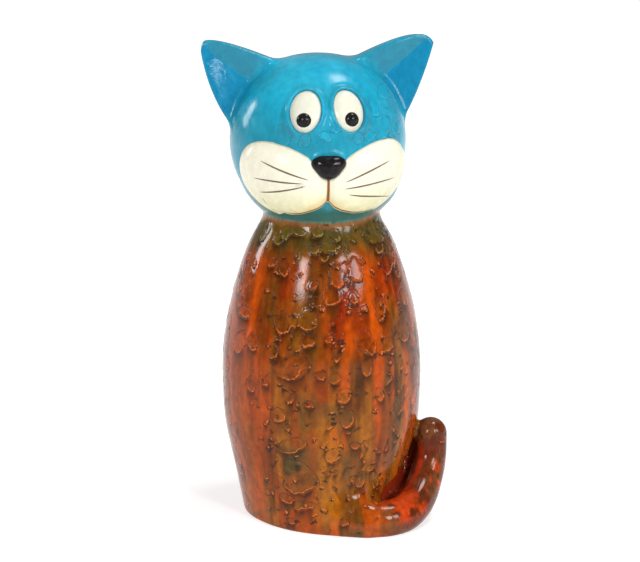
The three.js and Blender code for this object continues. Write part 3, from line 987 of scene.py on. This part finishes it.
def body_paint(points, relief):
    angles, heights = round_the_body(points)
    round_way = np.stack([np.cos(angles), np.sin(angles)], -1)

    def streaks(per_turn, length, seed, layers=3):
        spots = np.concatenate([round_way * per_turn, heights[:, None] / length], axis=1)
        return layered_noise(spots, seed, layers)

    colour = mixed_in(coat(RUST, points), BROWN, smoothstep(0.42, 0.62, streaks(4.0, 60.0, 11)))
    low = smoothstep(118.0, 60.0, heights)
    runs = (
        (OCHRE, 0.48, 0.62, (6.0, 70.0, 21), low * 0.85),
        (DEEP_RED, 0.50, 0.64, (6.0, 34.0, 31), (1 - low) * 0.8),
        (ORANGE, 0.56, 0.68, (9.0, 75.0, 41, 2), 0.6),
        (DARK_BROWN, 0.56, 0.70, (8.0, 40.0, 51, 2), 0.65),
        (GREY_GREEN, 0.60, 0.72, (9.0, 22.0, 61), low * 0.6),
    )
    for ink, none, full, kind, strength in runs:
        colour = mixed_in(colour, ink, smoothstep(none, full, streaks(*kind)) * strength)
    leftward = -wrapped(angles - FACING)
    left = smoothstep(0.35, 0.9, leftward) * smoothstep(2.2, 1.5, leftward)
    colour = mixed_in(colour, RUST, left * 0.5)

    ends = picked(turned_body, [s[:2] for s in FRONT_STROKES] + [s[2:4] for s in FRONT_STROKES])
    at_angle, at_height = round_the_body(ends)
    count = len(FRONT_STROKES)
    for i, stroke in enumerate(FRONT_STROKES):
        start = (at_angle[i], at_height[i])
        end = (at_angle[i + count], at_height[i + count])
        weight = stroke_weight(angles, heights, start, end, stroke[4] * PIXEL)
        ragged = 0.6 + 0.8 * streaks(22.0, 30.0, 71)
        colour = mixed_in(colour, stroke[5], weight * stroke[6] * ragged)

    inside = smoothstep(0.6, -1.2, relief.gap)
    mottle = streaks(24.0, 2.4, 81)
    colour = mixed_in(colour, relief.ink, inside * (0.1 + 0.55 * mottle))
    colour = mixed_in(colour, DARK_BROWN, inside * smoothstep(0.45, 0.7, mottle) * 0.5)
    neck = smoothstep(138.0, 152.0, heights + 10.0 * (streaks(5.0, 30.0, 91) - 0.5))
    colour = mixed_in(colour, OLIVE, neck * 0.85)
    colour = mixed_in(colour, GREY_GREEN, neck * smoothstep(0.45, 0.6, streaks(9.0, 12.0, 93)) * 0.8)
    # The dark smears under the blobs: partly pooled glaze, partly painted shadow
    colour = mixed_in(colour, POOLED_GLAZE_AND_SHADOW, relief.shade * (0.75 + 0.6 * streaks(20.0, 6.0, 85)))
    colour = colour * AMBER
    tail = tail_share(points) * (1.0 - root_share(points))
    colour = mixed_in(colour, tail_paint(points) * TAIL_TONE, tail)
    # The channel between body and tail in deep red, partly painted shade in the hollow
    hollow = smoothstep(2.4, 0.8, np.abs(CHANNEL.field(points))) * smoothstep(3.0, 8.0, heights)
    colour = mixed_in(colour, HOLLOW_RED_IN_SHADE, hollow * smoothstep(46.0, 30.0, heights) * 0.9)
    lifted = collar_lift(points)
    chin = smoothstep(156.5, 161.0, heights - lifted + 3.0 * (streaks(6.0, 8.0, 95) - 0.5))
    line = bump_at(heights - lifted + 2.0 * (streaks(6.0, 8.0, 95) - 0.5), 158.6, 1.2)
    # The top of the neck in the chin's teal, darkened with painted shade from the head above
    colour = mixed_in(colour, CHIN_TEAL_IN_SHADE, chin)
    return mixed_in(colour, RUST, line * 0.6)


def tail_share(points):
    low = np.minimum(np.minimum(TAIL.field(points), WEB.field(points)), CHANNEL.field(points) + 0.8)
    body = turned_body(points)
    return smoothstep(1.8, -0.4, low) * np.maximum(smoothstep(0.3, 1.6, body), smoothstep(0.0, -0.8, body))


def tail_paint(points):
    """Dark red-brown, glowing orange on top of the bend, with thin orange runs along the outside."""
    angle = np.degrees(np.arctan2(points[:, 1], points[:, 0]))
    patches = layered_noise(points / 9.0, 101)
    colour = mixed_in(coat(MAROON, points), UMBER, smoothstep(0.45, 0.6, patches))
    bend = smoothstep(-76.0, -64.0, angle) * smoothstep(-34.0, -46.0, angle)
    upper = smoothstep(5.0, 11.0, points[:, 2]) * smoothstep(30.0, 20.0, points[:, 2])
    ragged = layered_noise(points / 6.0, 103)
    colour = mixed_in(colour, EMBER, bend * upper * smoothstep(0.36, 0.50, ragged) * 0.8)
    runs = smoothstep(0.58, 0.66, layered_noise(points / np.array([3.0, 3.0, 9.0]), 105))
    outside = smoothstep(56.0, 62.0, np.hypot(points[:, 0], points[:, 1]))
    colour = mixed_in(colour, EMBER, runs * outside * smoothstep(40.0, 26.0, points[:, 2]) * 0.8)
    return mixed_in(colour, DARK_BROWN, smoothstep(0.55, 0.7, layered_noise(points / 4.0, 107)) * 0.5)


def head_paint(points, relief):
    local = points - HEAD_CENTRE
    cloud = layered_noise(points / 16.0, 111)
    fine = layered_noise(points / 5.0, 113)
    colour = mixed_in(coat(CYAN, points), LIGHT_CYAN, smoothstep(0.5, 0.75, cloud) * 0.6)
    colour = mixed_in(colour, GREY_TEAL, smoothstep(0.48, 0.34, cloud) * 0.4)
    colour = mixed_in(colour, DEEP_BLUE, smoothstep(0.5, 0.7, fine) * 0.3)
    # Painted shade on the lower left of the head
    side = smoothstep(-12.0, -34.0, local[:, 0]) * smoothstep(30.0, 6.0, local[:, 2])
    colour = mixed_in(colour, GREY_TEAL, side * 0.7)
    # Painted shade on the right side of the head, broken up by the glaze's mottle
    right_side_shade = bump_at(np.hypot(local[:, 0] - 32.0, local[:, 2] - 8.0), 0.0, 16.0) * (0.3 + 0.9 * fine)
    colour = mixed_in(colour, GREY_TEAL, right_side_shade * 0.7)
    brow = bump_at(np.hypot((local[:, 0] + 12.0) / 1.5, local[:, 2] - 33.0), 0.0, 13.0) * (local[:, 1] < 0.0)
    colour = mixed_in(colour, LIGHT_CYAN, brow * 0.5)
    bridge = bump_at(np.hypot((local[:, 0] + 2.0) / 2.0, local[:, 2] - 3.0), 0.0, 11.0) * (local[:, 1] < 0.0)
    colour = mixed_in(colour, GREY_TEAL, bridge * (0.35 + 0.5 * fine))
    for ear in EARS:
        gap, along, across = ear.place(points)
        on_ear = smoothstep(0.5, -1.0, gap) * smoothstep(0.0, 0.2, along) * (points[:, 1] < EAR_BACK_SHIFT)
        lower = smoothstep(EAR_HOLLOW_AT - 0.03, EAR_HOLLOW_AT + 0.03, across)
        # The upper facet inside the ear in slate teal, partly painted sheen where it catches the light
        colour = mixed_in(colour, SLATE_TEAL_AND_SHEEN, on_ear * (1.0 - lower) * 0.75)
        colour = mixed_in(colour, EAR_BLUE, on_ear * lower * 0.8)
    inside = smoothstep(0.5, -1.0, relief.gap)
    colour = mixed_in(colour, relief.ink, inside * 0.45)
    for side in (-1, 1):
        gap, _ = eye_oval(points, side)
        colour = mixed_in(colour, EYE_LINE, bump_at(gap, 0.2, 0.75) * 0.85)
        colour = mixed_in(colour, GREY_TEAL, bump_at(gap, 3.9, 1.1) * 0.35)
    # The chin in teal, darkened with painted shade under the muzzle
    chin = smoothstep(-22.0, -33.0, local[:, 2] + 3.0 * (fine - 0.5))
    colour = mixed_in(colour, CHIN_TEAL_IN_SHADE, chin * 0.9)
    lifted = collar_lift(points)
    gone = smoothstep(-36.4, -40.5, local[:, 2] - lifted + 3.0 * (fine - 0.5))
    rusty = bump_at(local[:, 2] - lifted, -38.4, 1.6) * smoothstep(10.0, 24.0, points[:, 0])
    return mixed_in(mixed_in(colour * HEAD_TONE, OLIVE, gone), RUST, rusty * 0.8)


def muzzle_paint(points):
    local = points - HEAD_CENTRE
    cloud = layered_noise(points / 12.0, 121)
    colour = coat(CREAM, points)
    low = smoothstep(-14.0, -30.0, local[:, 2] + 6.0 * (cloud - 0.5))
    colour = mixed_in(colour, YELLOW_CREAM, low * (0.35 + 0.4 * cloud))
    height = head_ball(points)
    close = smoothstep(17.0, 4.0, np.abs(local[:, 0]))
    stain = smoothstep(2.2, 0.3, height) * close * smoothstep(-16.0, -26.0, local[:, 2])
    rise = above_lip(points)
    glow = smoothstep(7.0, 1.0, rise) * smoothstep(20.0, 2.0, np.abs(local[:, 0] + 3.0))
    colour = mixed_in(colour, HONEY, glow * 0.5)
    return mixed_in(colour, GOLD, stain * 0.5)


# Materials


class Graph:
    """A short way to add nodes to one material."""

    def __init__(self, name):
        self.material = bpy.data.materials.new(name)
        self.material.use_nodes = True
        self.tree = self.material.node_tree
        self.shader = self.tree.nodes["Principled BSDF"]
        self.shader.inputs["IOR"].default_value = GLAZE_IOR

    def add(self, kind, *values, output=0, **settings):
        node = self.tree.nodes.new(kind)
        for key, value in settings.items():
            setattr(node, key, value)
        for socket, value in zip(node.inputs, values):
            self.put(socket, value)
        return node.outputs[output]

    def put(self, socket, value):
        if value is None:
            return
        if isinstance(value, bpy.types.NodeSocket):
            self.tree.links.new(value, socket)
        else:
            socket.default_value = value

    def math(self, operation, *values):
        return self.add("ShaderNodeMath", *values, operation=operation)

    def near_zero(self, value, none, full, *levels):
        """Full where the value is within the second limit of zero, and none past the first."""
        return self.spread(self.math("ABSOLUTE", value), none, full, *levels)

    def times(self, first, *others):
        for other in others:
            first = self.math("MULTIPLY", first, other)
        return first

    def painted(self, title, output=2):
        return self.add("ShaderNodeAttribute", attribute_name=title, output=output)

    def spread(self, value, low, high, to_low=0.0, to_high=1.0):
        return self.add(
            "ShaderNodeMapRange", value, low, high, to_low, to_high, interpolation_type="SMOOTHSTEP"
        )

    def mix(self, share, a, b, blend="MIX"):
        node = self.tree.nodes.new("ShaderNodeMix")
        node.data_type = "RGBA"
        node.blend_type = blend
        node.clamp_factor = True
        self.put(node.inputs[0], share)
        self.put(node.inputs[6], a)
        self.put(node.inputs[7], b)
        return node.outputs[2]

    def place(self, stretch=(1.0, 1.0, 1.0)):
        """The position in the object, in millimetres over the stretch given for each axis."""
        spot = self.add("ShaderNodeTexCoord", output=3)
        return self.add(
            "ShaderNodeVectorMath", spot, [1.0 / MM / s for s in stretch], operation="MULTIPLY"
        )

    def grain(self, stretch, detail=3.0, roughness=0.55):
        return self.add(
            "ShaderNodeTexNoise", self.place(stretch), None, 1.0, detail, roughness
        )

    def shaded(self, colour, value):
        grey = self.add("ShaderNodeCombineColor", value, value, value)
        return self.mix(1.0, colour, grey, "MULTIPLY")

    def droplets(self, spacing):
        """Small round drops: how far outside the nearest, in shares of the spacing, and its lower side."""
        warp = self.add("ShaderNodeTexNoise", self.place((2.2, 2.2, 2.2)), None, 1.0, 2.0, output=1)
        warp = self.add("ShaderNodeVectorMath", warp, (0.5, 0.5, 0.5), operation="SUBTRACT")
        spot = self.place((spacing, spacing, spacing * 1.15))
        spot = self.add("ShaderNodeVectorMath", warp, (1.1, 1.1, 1.1), spot, operation="MULTIPLY_ADD")
        cells = self.tree.nodes.new("ShaderNodeTexVoronoi")
        cells.inputs["Scale"].default_value = 1.0
        self.put(cells.inputs["Vector"], spot)
        picks = self.add("ShaderNodeSeparateColor", cells.outputs["Color"])
        size = self.spread(picks, 0.50, 0.75, -0.3, 0.34)
        away = self.add("ShaderNodeVectorMath", spot, cells.outputs["Position"], operation="SUBTRACT")
        fall = self.add("ShaderNodeSeparateXYZ", away, output=2)
        low = self.spread(self.math("DIVIDE", fall, cells.outputs["Distance"]), -0.1, -0.7)
        return self.math("SUBTRACT", cells.outputs["Distance"], size), low

    def bump(self, height):
        node = self.tree.nodes.new("ShaderNodeBump")
        node.inputs["Strength"].default_value = 1.0
        node.inputs["Distance"].default_value = MM
        self.put(node.inputs["Height"], height)
        return node.outputs[0]

    def finish(self, colour, roughness, normal=None):
        self.put(self.shader.inputs["Base Color"], colour)
        self.put(self.shader.inputs["Roughness"], roughness)
        self.put(self.shader.inputs["Normal"], normal)
        return self.material


def flat(colour):
    return [float(c) for c in colour] + [1.0]


def glaze(name, line_colour, line_strength, lip_strength, relief_height, roughness, mottle):
    """The painted glaze of the body and the head: fine mottle, blob outlines, bright lower lips."""
    graph = Graph(name)
    colour = graph.painted("paint", output=0)
    lip_colour = graph.painted("lip_paint", output=0)
    gap = graph.painted("gap")
    low_side = graph.painted("low_side")
    pitted = graph.painted("pitted")
    drag = graph.grain((2.4, 2.4, 12.0))
    speck = graph.grain((0.8, 0.8, 0.9), detail=4.0, roughness=0.7)
    cloud = graph.grain((3.4, 3.4, 4.2), detail=4.0, roughness=0.65)
    ragged = graph.grain((1.3, 1.3, 1.5), detail=3.0, roughness=0.6)
    wobble = graph.math("MULTIPLY_ADD", ragged, 1.8, -0.9)
    edge = graph.math("ADD", gap, wobble)
    value = graph.spread(drag, 0.3, 0.7, 1.0 - 0.6 * mottle, 1.0 + 0.6 * mottle)
    colour = graph.shaded(colour, value)
    value = graph.spread(cloud, 0.3, 0.7, 1.0 - mottle, 1.0 + 0.8 * mottle)
    colour = graph.shaded(colour, value)

    drop_edge, drop_low = graph.droplets(DROP_SPACING)
    drops = graph.painted("drops")
    drop_lip = graph.times(
        drop_low, graph.spread(drop_edge, -0.30, -0.16, 0.0, drops), graph.spread(drop_edge, -0.02, -0.12)
    )
    drop_line = graph.near_zero(drop_edge, 0.12, 0.02, 0.0, drops)
    drop_line = graph.times(drop_line, graph.spread(drop_low, 0.0, 0.6, 0.15, 0.9))
    # Painted shadow below each drop
    drop_shadow = graph.times(
        graph.spread(drop_edge, 0.40, 0.04), graph.spread(drop_edge, -0.04, 0.04), drop_low, drops
    )

    lip = graph.times(
        graph.spread(low_side, 0.25, 0.85),
        graph.spread(edge, -1.25, -0.75),
        graph.spread(edge, -0.10, -0.35),
        graph.spread(speck, 0.38, 0.55),
    )
    all_lips = graph.math("MAXIMUM", lip, drop_lip)
    dark = flat(line_colour)
    colour = graph.mix(graph.times(drop_shadow, 0.8), colour, dark)
    colour = graph.mix(graph.times(all_lips, lip_strength), colour, lip_colour)
    line = graph.near_zero(edge, 0.38, 0.08)
    line = graph.times(line, graph.spread(cloud, 0.40, 0.60, 0.15, 1.0))
    all_lines = graph.math("MAXIMUM", line, drop_line)
    colour = graph.mix(graph.times(all_lines, line_strength), colour, dark)
    specks = graph.times(graph.spread(speck, 0.64, 0.72), line_strength)
    colour = graph.mix(graph.times(specks, 0.7), colour, dark)

    height = graph.times(graph.spread(edge, 0.35, -0.5), relief_height)
    height = graph.math("MULTIPLY_ADD", all_lips, relief_height * 0.6, height)
    drop_height = graph.spread(drop_edge, 0.10, -0.15, 0.0, drops)
    height = graph.math("MULTIPLY_ADD", drop_height, relief_height * 0.6, height)
    height = graph.math("MULTIPLY_ADD", cloud, 0.035, height)
    pits = graph.math("MULTIPLY_ADD", pitted, 0.022, 0.005)
    height = graph.math("MULTIPLY_ADD", speck, pits, height)
    normal = graph.bump(height)
    rough = graph.spread(cloud, 0.3, 0.7, roughness * 0.7, roughness * 1.5)
    return graph.finish(colour, rough, normal)


def cream_material(name):
    graph = Graph(name)
    colour = graph.painted("paint", output=0)
    cloud = graph.grain((4.0, 4.0, 5.0), detail=4.0)
    value = graph.spread(cloud, 0.3, 0.7, 0.95, 1.03)
    colour = graph.shaded(colour, value)
    away = graph.math("ABSOLUTE", graph.painted("whisker_off"))
    width = graph.painted("whisker_width")
    line = graph.spread(graph.math("DIVIDE", away, width), 1.3, 0.5)
    line = graph.times(line, graph.painted("whisker_near"))
    rim = graph.painted("rim")
    wobble = graph.math("MULTIPLY_ADD", cloud, 0.6, -0.3)
    edge = graph.spread(graph.math("ADD", rim, wobble), 0.75, 0.25)
    seam = graph.near_zero(graph.painted("seam"), 0.42, 0.12)
    seam = graph.times(seam, graph.painted("seam_strength"))
    lip = graph.near_zero(graph.painted("lip_line"), 0.5, 0.2)
    lip = graph.times(lip, graph.painted("lip_strength"))
    seam = graph.math("MAXIMUM", seam, lip)
    edge = graph.times(edge, graph.painted("rim_strength"))
    colour = graph.mix(edge, colour, flat(RIM_BROWN))
    colour = graph.mix(seam, colour, flat(SEAM_BROWN))
    colour = graph.mix(graph.times(line, 0.9), colour, flat(WHISKER_BROWN))
    fine = graph.grain((1.2, 1.2, 1.4), detail=3.0)
    height = graph.math("MULTIPLY_ADD", line, -0.25, graph.times(fine, 0.03))
    height = graph.math("MULTIPLY_ADD", cloud, 0.05, height)
    rough = graph.spread(cloud, 0.3, 0.7, 0.20, 0.30)
    return graph.finish(colour, rough, graph.bump(height))


def plain_material(name, colour, other, roughness, bump_height):
    graph = Graph(name)
    cloud = graph.grain((2.2, 2.2, 2.6), detail=4.0)
    fine = graph.grain((0.7, 0.7, 0.7), detail=3.0)
    mixed = graph.mix(graph.spread(cloud, 0.35, 0.7), flat(colour), flat(other))
    height = graph.math("MULTIPLY_ADD", cloud, bump_height, graph.times(fine, bump_height * 0.5))
    rough = graph.spread(cloud, 0.3, 0.7, roughness * 0.8, roughness * 1.25)
    return graph.finish(mixed, rough, graph.bump(height))


# The pieces


def add_front_blobs(relief, points):
    angles, heights = round_the_body(points)
    for number, (angle, height, half_width, half_height, lean, ink) in enumerate(body_blobs()):
        across = wrapped(angles - angle) * radius_at(height)
        relief.add(number, across, heights - height, half_width, half_height, lean, ink)


def skin_part(side):
    """The skin below the neck for side 1 and above it for side -1, and its overlap with the other."""

    def field(points):
        past = side * (points[:, 2] - NECK_HEIGHT)
        sunk = OVERLAP_SINK * smoothstep(0.0, 2.0, past)
        return np.maximum(skin_field(points) + sunk, past - OVERLAP)

    return field


def make_body():
    points, faces, normals = meshed(skin_part(1), (-58, -60, -4), (70, 58, 166), BODY_CELLS)
    relief = Relief(points)
    add_front_blobs(relief, points)
    calm = np.maximum(tail_share(points), smoothstep(2.0, 0.6, points[:, 2]))
    relief.gap += 30.0 * calm * (points[:, 2] < 3.0)
    height = height_of(relief) * (1.0 - calm) * smoothstep(157.0, 153.0, points[:, 2])
    olive = smoothstep(136.0, 148.0, points[:, 2])
    strip = points - picked(turned_body, [(302, 285)])[0]
    angles, _ = round_the_body(points)
    off_front = wrapped(angles - FACING)
    drop_share = 1.0 - 0.75 * smoothstep(-0.5, -0.9, off_front) * smoothstep(-1.9, -1.6, off_front)
    paints = {
        "paint": body_paint(points, relief),
        "lip_paint": mixed_in(coat(LIP_ORANGE, points), OLIVE_GOLD, olive),
        "gap": relief.gap,
        "low_side": relief.low_side,
        "pitted": bump_at(np.hypot(strip[:, 0], strip[:, 2] / 2.2), 0.0, 9.0),
        "drops": (1.0 - tail_share(points) * (1.0 - root_share(points))) * drop_share,
    }
    material = glaze(
        "painted_glaze_body", BODY_LINE, line_strength=0.85, lip_strength=0.8,
        relief_height=0.26, roughness=0.11, mottle=0.20,
    )
    made_piece("body_skin", points + normals * height[:, None], faces, paints, material)


def make_head():
    points, faces, normals = meshed(skin_part(-1), (-68, -52, 154), (68, 50, 256), HEAD_CELLS)
    relief = Relief(points)
    spots = picked(head_ball, [blob[:2] for blob in HEAD_BLOBS])
    for number, (blob, spot) in enumerate(zip(HEAD_BLOBS, spots), FIRST_HEAD_BLOB):
        to = points - spot
        facing = (points - HEAD_CENTRE) @ BACK > 5.0
        across = np.where(facing, to @ RIGHT, 99.0)
        relief.add(number, across, to @ UP, blob[2] * PIXEL, blob[3] * PIXEL, blob[4], blob[5])
    height = height_of(relief) * 0.8
    local = points - HEAD_CENTRE
    cheek = bump_at(np.hypot(local[:, 0] - 30.0, local[:, 2] - 8.0), 0.0, 16.0)
    paints = {
        "paint": head_paint(points, relief),
        "lip_paint": coat(LIGHT_CYAN, points),
        "gap": relief.gap,
        "low_side": relief.low_side,
        "pitted": smoothstep(24.0, 34.0, local[:, 2]) * smoothstep(28.0, 20.0, np.abs(local[:, 0])),
        "drops": 0.5 * cheek * (local[:, 1] < 0.0),
    }
    material = glaze(
        "painted_glaze_head", HEAD_LINE, line_strength=0.42, lip_strength=0.45,
        relief_height=0.24, roughness=0.17, mottle=0.08,
    )
    made_piece("head_skin", points + normals * height[:, None], faces, paints, material)


# Whiskers as the photograph shows them: pixels along each line, then its half width in pixels
WHISKERS = (
    ((261, 161), (283, 173), (308, 180), 0.9),
    ((254, 178), (279, 183), (302, 184), 0.9),
    ((260, 192), (279, 193), (305, 186.5), 0.9),
    ((262, 198), (264, 201), (267, 204), 0.5),
    ((389, 161), (368, 173), (347, 182), 0.9),
    ((393, 178), (368, 186), (346, 189), 0.9),
    ((389, 196), (364, 197), (350, 195), 0.9),
)


def whisker_values(points):
    """Distance off the nearest whisker, with a side, and half the line's width there."""
    off = np.full(len(points), 20.0)
    width = np.full(len(points), 0.1)
    for *ends, half_width in WHISKERS:
        line = bezier(ends, 12)
        line += 0.25 * (line[len(line) // 2] - line.mean(0))
        spots = picked(muzzle_field, line)
        for i, (a, b) in enumerate(zip(spots, spots[1:])):
            side = b - a
            to = points - a
            share = to @ side / (side @ side)
            inside = (share >= -0.3) & (share <= 1.3)
            middle = a + np.clip(share, 0, 1)[:, None] * side
            normal = unit(((a + b) / 2 - HEAD_CENTRE)[None, :])[0]
            across = unit(np.cross(side, normal)[None, :])[0]
            gap = (points - middle) @ across
            reach = np.linalg.norm(points - middle, axis=1)
            better = inside & (reach < np.abs(off) + 0.001) & (reach < 6.0)
            off[better] = (np.sign(gap) * reach)[better]
            along = (i + np.clip(share, 0, 1)) / (len(spots) - 1)
            taper = np.sqrt(np.clip(4 * along * (1 - along), 0.05, 1.0))
            width[better] = (half_width * PIXEL * taper)[better]
    return off, width


def make_muzzle():
    points, faces, normals = meshed(muzzle_field, (-52, -62, 154), (48, -4, 206), MUZZLE_CELLS)
    off, width = whisker_values(points)
    seam = (lobe(-1, points) - lobe(1, points)) * 0.5
    local = points - HEAD_CENTRE
    paints = {
        "paint": muzzle_paint(points),
        "whisker_off": off,
        "whisker_width": width,
        "whisker_near": smoothstep(1.6, 0.9, np.abs(off)),
        "rim": head_ball(points),
        "rim_strength": 0.35 + 0.65 * smoothstep(22.0, 8.0, np.abs(local[:, 0])) * (local[:, 2] < -16),
        "seam": seam,
        "seam_strength": smoothstep(-8.0, -12.0, local[:, 2]) * smoothstep(0.4, 1.2, above_lip(points)),
        "lip_line": above_lip(points) - 1.1,
        "lip_strength": smoothstep(27.0, 14.0, np.abs(local[:, 0] - 2.0)),
    }
    groove = 0.7 * bump_at(seam, 0.0, 0.9) + 0.12 * bump_at(off, 0.0, 0.6)
    made_piece("muzzle", points - normals * groove[:, None], faces, paints, cream_material("cream_paint"))


def nose_field(points):
    local = points - HEAD_CENTRE - np.array([0.0, -NOSE_DEPTH, NOSE_HEIGHT])
    local /= np.array([NOSE_HALF_WIDTH, NOSE_HALF_DEPTH, NOSE_HALF_HEIGHT])
    angle = np.arctan2(local[:, 2], local[:, 0])
    swell = 1.0 + NOSE_CORNERS * np.cos(3 * (angle + math.pi / 2))
    local[:, 0] /= swell
    local[:, 2] /= swell
    return (np.linalg.norm(local, axis=1) - 1.0) * NOSE_HALF_DEPTH


def make_nose():
    points, faces = surface_net(nose_field, (-14, -54, 181), (10, -36, 200), NOSE_CELL)
    material = plain_material("black_gloss_nose", tint(22, 20, 22), tint(34, 31, 32), 0.13, 0.10)
    made_piece("nose", points, faces, {}, material)


def dome_field(longitude, latitude, half_width, half_height, rise):
    sink = 2 * rise

    def spread(half):
        fall = sink - half**2 / (2 * HEAD_RADIUS)
        return half / math.sqrt(1 - (fall / (rise + sink)) ** 2)

    face = face_frame(longitude, latitude, 0.0, HEAD_RADIUS - sink)
    halves = (spread(half_width), rise + sink, spread(half_height))
    return lambda points: oval_gap(in_frame(points, face), halves)


# How far the grid of an eye or a pupil reaches from the head's surface, past the dome's buried end.
DOME_REACH = 14.0


def make_eyes():
    cream = plain_material("cream_eye", tint(218, 217, 201), tint(212, 211, 192), 0.22, 0.05)
    black = plain_material("black_gloss_pupil", tint(24, 22, 22), tint(40, 37, 36), 0.12, 0.06)
    domes = (
        ("eye", cream, EYE_CELL, EYE_LONGITUDE, EYE_LATITUDE, EYE_HALF_WIDTH, EYE_HALF_HEIGHT, EYE_RISE),
        (
            "pupil", black, PUPIL_CELL,
            PUPIL_LONGITUDE, PUPIL_LATITUDE, PUPIL_RADIUS, PUPIL_RADIUS, PUPIL_RISE,
        ),
    )
    for side, hand in ((-1, "left"), (1, "right")):
        for kind, material, cell, longitude, latitude, half_width, half_height, rise in domes:
            field = dome_field(side * longitude, latitude, half_width, half_height, rise)
            middle, _ = face_frame(side * longitude, latitude, 0.0, HEAD_RADIUS)
            points, faces = surface_net(field, middle - DOME_REACH, middle + DOME_REACH, cell)
            made_piece(f"{kind}_{hand}", points, faces, {}, material)


# Studio


def make_camera():
    camera = bpy.data.objects.new("photo_camera", bpy.data.cameras.new("photo_camera"))
    camera.data.sensor_width = SENSOR_WIDTH
    camera.data.lens = FOCAL_PIXELS * SENSOR_WIDTH / PHOTO_WIDTH
    camera.data.clip_start = 0.01
    camera.data.clip_end = 60.0
    camera.location = Vector((TARGET + BACK * DISTANCE) * MM)
    camera.rotation_euler = Vector(-BACK).to_track_quat("-Z", "Y").to_euler()
    bpy.context.scene.collection.objects.link(camera)
    bpy.context.scene.camera = camera


# Each light: its direction from the object (right of the camera, towards it, up), distance, width and
# height in metres, and power in watts
LIGHTS = (
    ("key_window_near", (0.50, 0.75, 0.43), 1.5, 0.24, 0.42, 8.3),
    ("key_window_far", (0.72, 0.57, 0.40), 1.5, 0.28, 0.42, 6.6),
    ("overhead", (0.32, -0.10, 0.95), 1.5, 0.40, 0.36, 9.0),
    ("side_back_left", (-0.87, -0.36, 0.31), 1.5, 0.24, 0.52, 5.8),
    ("strip_left", (-0.43, 0.80, 0.42), 1.6, 0.30, 0.44, 13.0),
)


def make_studio():
    turn = math.radians(AZIMUTH)
    rightward = Vector(RIGHT)
    toward = Vector((math.sin(turn), -math.cos(turn), 0.0))
    middle = Vector((0.0, 0.0, 0.125))
    for name, (across, near, high), distance, width, height, power in LIGHTS:
        data = bpy.data.lights.new(name, "AREA")
        data.shape = "RECTANGLE"
        data.size, data.size_y = width, height
        data.energy = power
        lamp = bpy.data.objects.new(name, data)
        aim = (rightward * across + toward * near + Vector((0, 0, high))).normalized()
        lamp.location = middle + aim * distance
        lamp.rotation_euler = aim.to_track_quat("Z", "Y").to_euler()
        bpy.context.scene.collection.objects.link(lamp)
    make_world(-toward)
    make_floor(toward)
    bpy.context.scene.view_settings.view_transform = "Standard"


def make_world(behind):
    """A white room that is brighter behind the object than in front of it."""
    world = bpy.data.worlds.new("studio_white")
    world.use_nodes = True
    tree = world.node_tree
    spot = tree.nodes.new("ShaderNodeTexCoord")
    facing = tree.nodes.new("ShaderNodeVectorMath")
    facing.operation = "DOT_PRODUCT"
    facing.inputs[1].default_value = behind
    spread = tree.nodes.new("ShaderNodeMapRange")
    spread.interpolation_type = "SMOOTHSTEP"
    for socket, value in zip(spread.inputs[1:5], (0.0, 0.9, ROOM_IN_FRONT, ROOM_BEHIND)):
        socket.default_value = value
    background = tree.nodes["Background"]
    background.inputs["Color"].default_value = (1.0, 1.0, 1.0, 1.0)
    tree.links.new(spot.outputs["Generated"], facing.inputs[0])
    tree.links.new(facing.outputs["Value"], spread.inputs[0])
    tree.links.new(spread.outputs[0], background.inputs["Strength"])
    bpy.context.scene.world = world


def make_floor(toward):
    """A pale floor that stays bright behind the object and falls off in front of it."""
    mesh = bpy.data.meshes.new("floor")
    reach = 14.0
    corners = [(-reach, -reach, 0), (reach, -reach, 0), (reach, reach, 0), (-reach, reach, 0)]
    mesh.from_pydata(corners, [], [(0, 1, 2, 3)])
    graph = Graph("pale_floor")
    spot = graph.add("ShaderNodeTexCoord", output=3)
    away = graph.add("ShaderNodeVectorMath", spot, operation="LENGTH", output=1)
    glow = graph.spread(away, 0.2, 1.2, FLOOR_GLOW_NEAR, FLOOR_GLOW_FAR)
    ahead = graph.add("ShaderNodeVectorMath", spot, toward, operation="DOT_PRODUCT", output=1)
    glow = graph.times(glow, graph.spread(ahead, 0.09, 0.25, 1.0, 0.0))
    graph.shader.inputs["Emission Color"].default_value = (1.0, 1.0, 1.0, 1.0)
    graph.put(graph.shader.inputs["Emission Strength"], glow)
    mesh.materials.append(graph.finish((FLOOR_GREY, FLOOR_GREY, FLOOR_GREY, 1.0), 0.9))
    floor = bpy.data.objects.new("floor", mesh)
    bpy.context.scene.collection.objects.link(floor)
    floor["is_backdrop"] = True


make_camera()
make_body()
make_head()
make_muzzle()
make_nose()
make_eyes()
make_studio()

boxes = {"solids": box_of_solids, "dressed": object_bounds()}
{name: [list(corner) for corner in box] for name, box in boxes.items()}
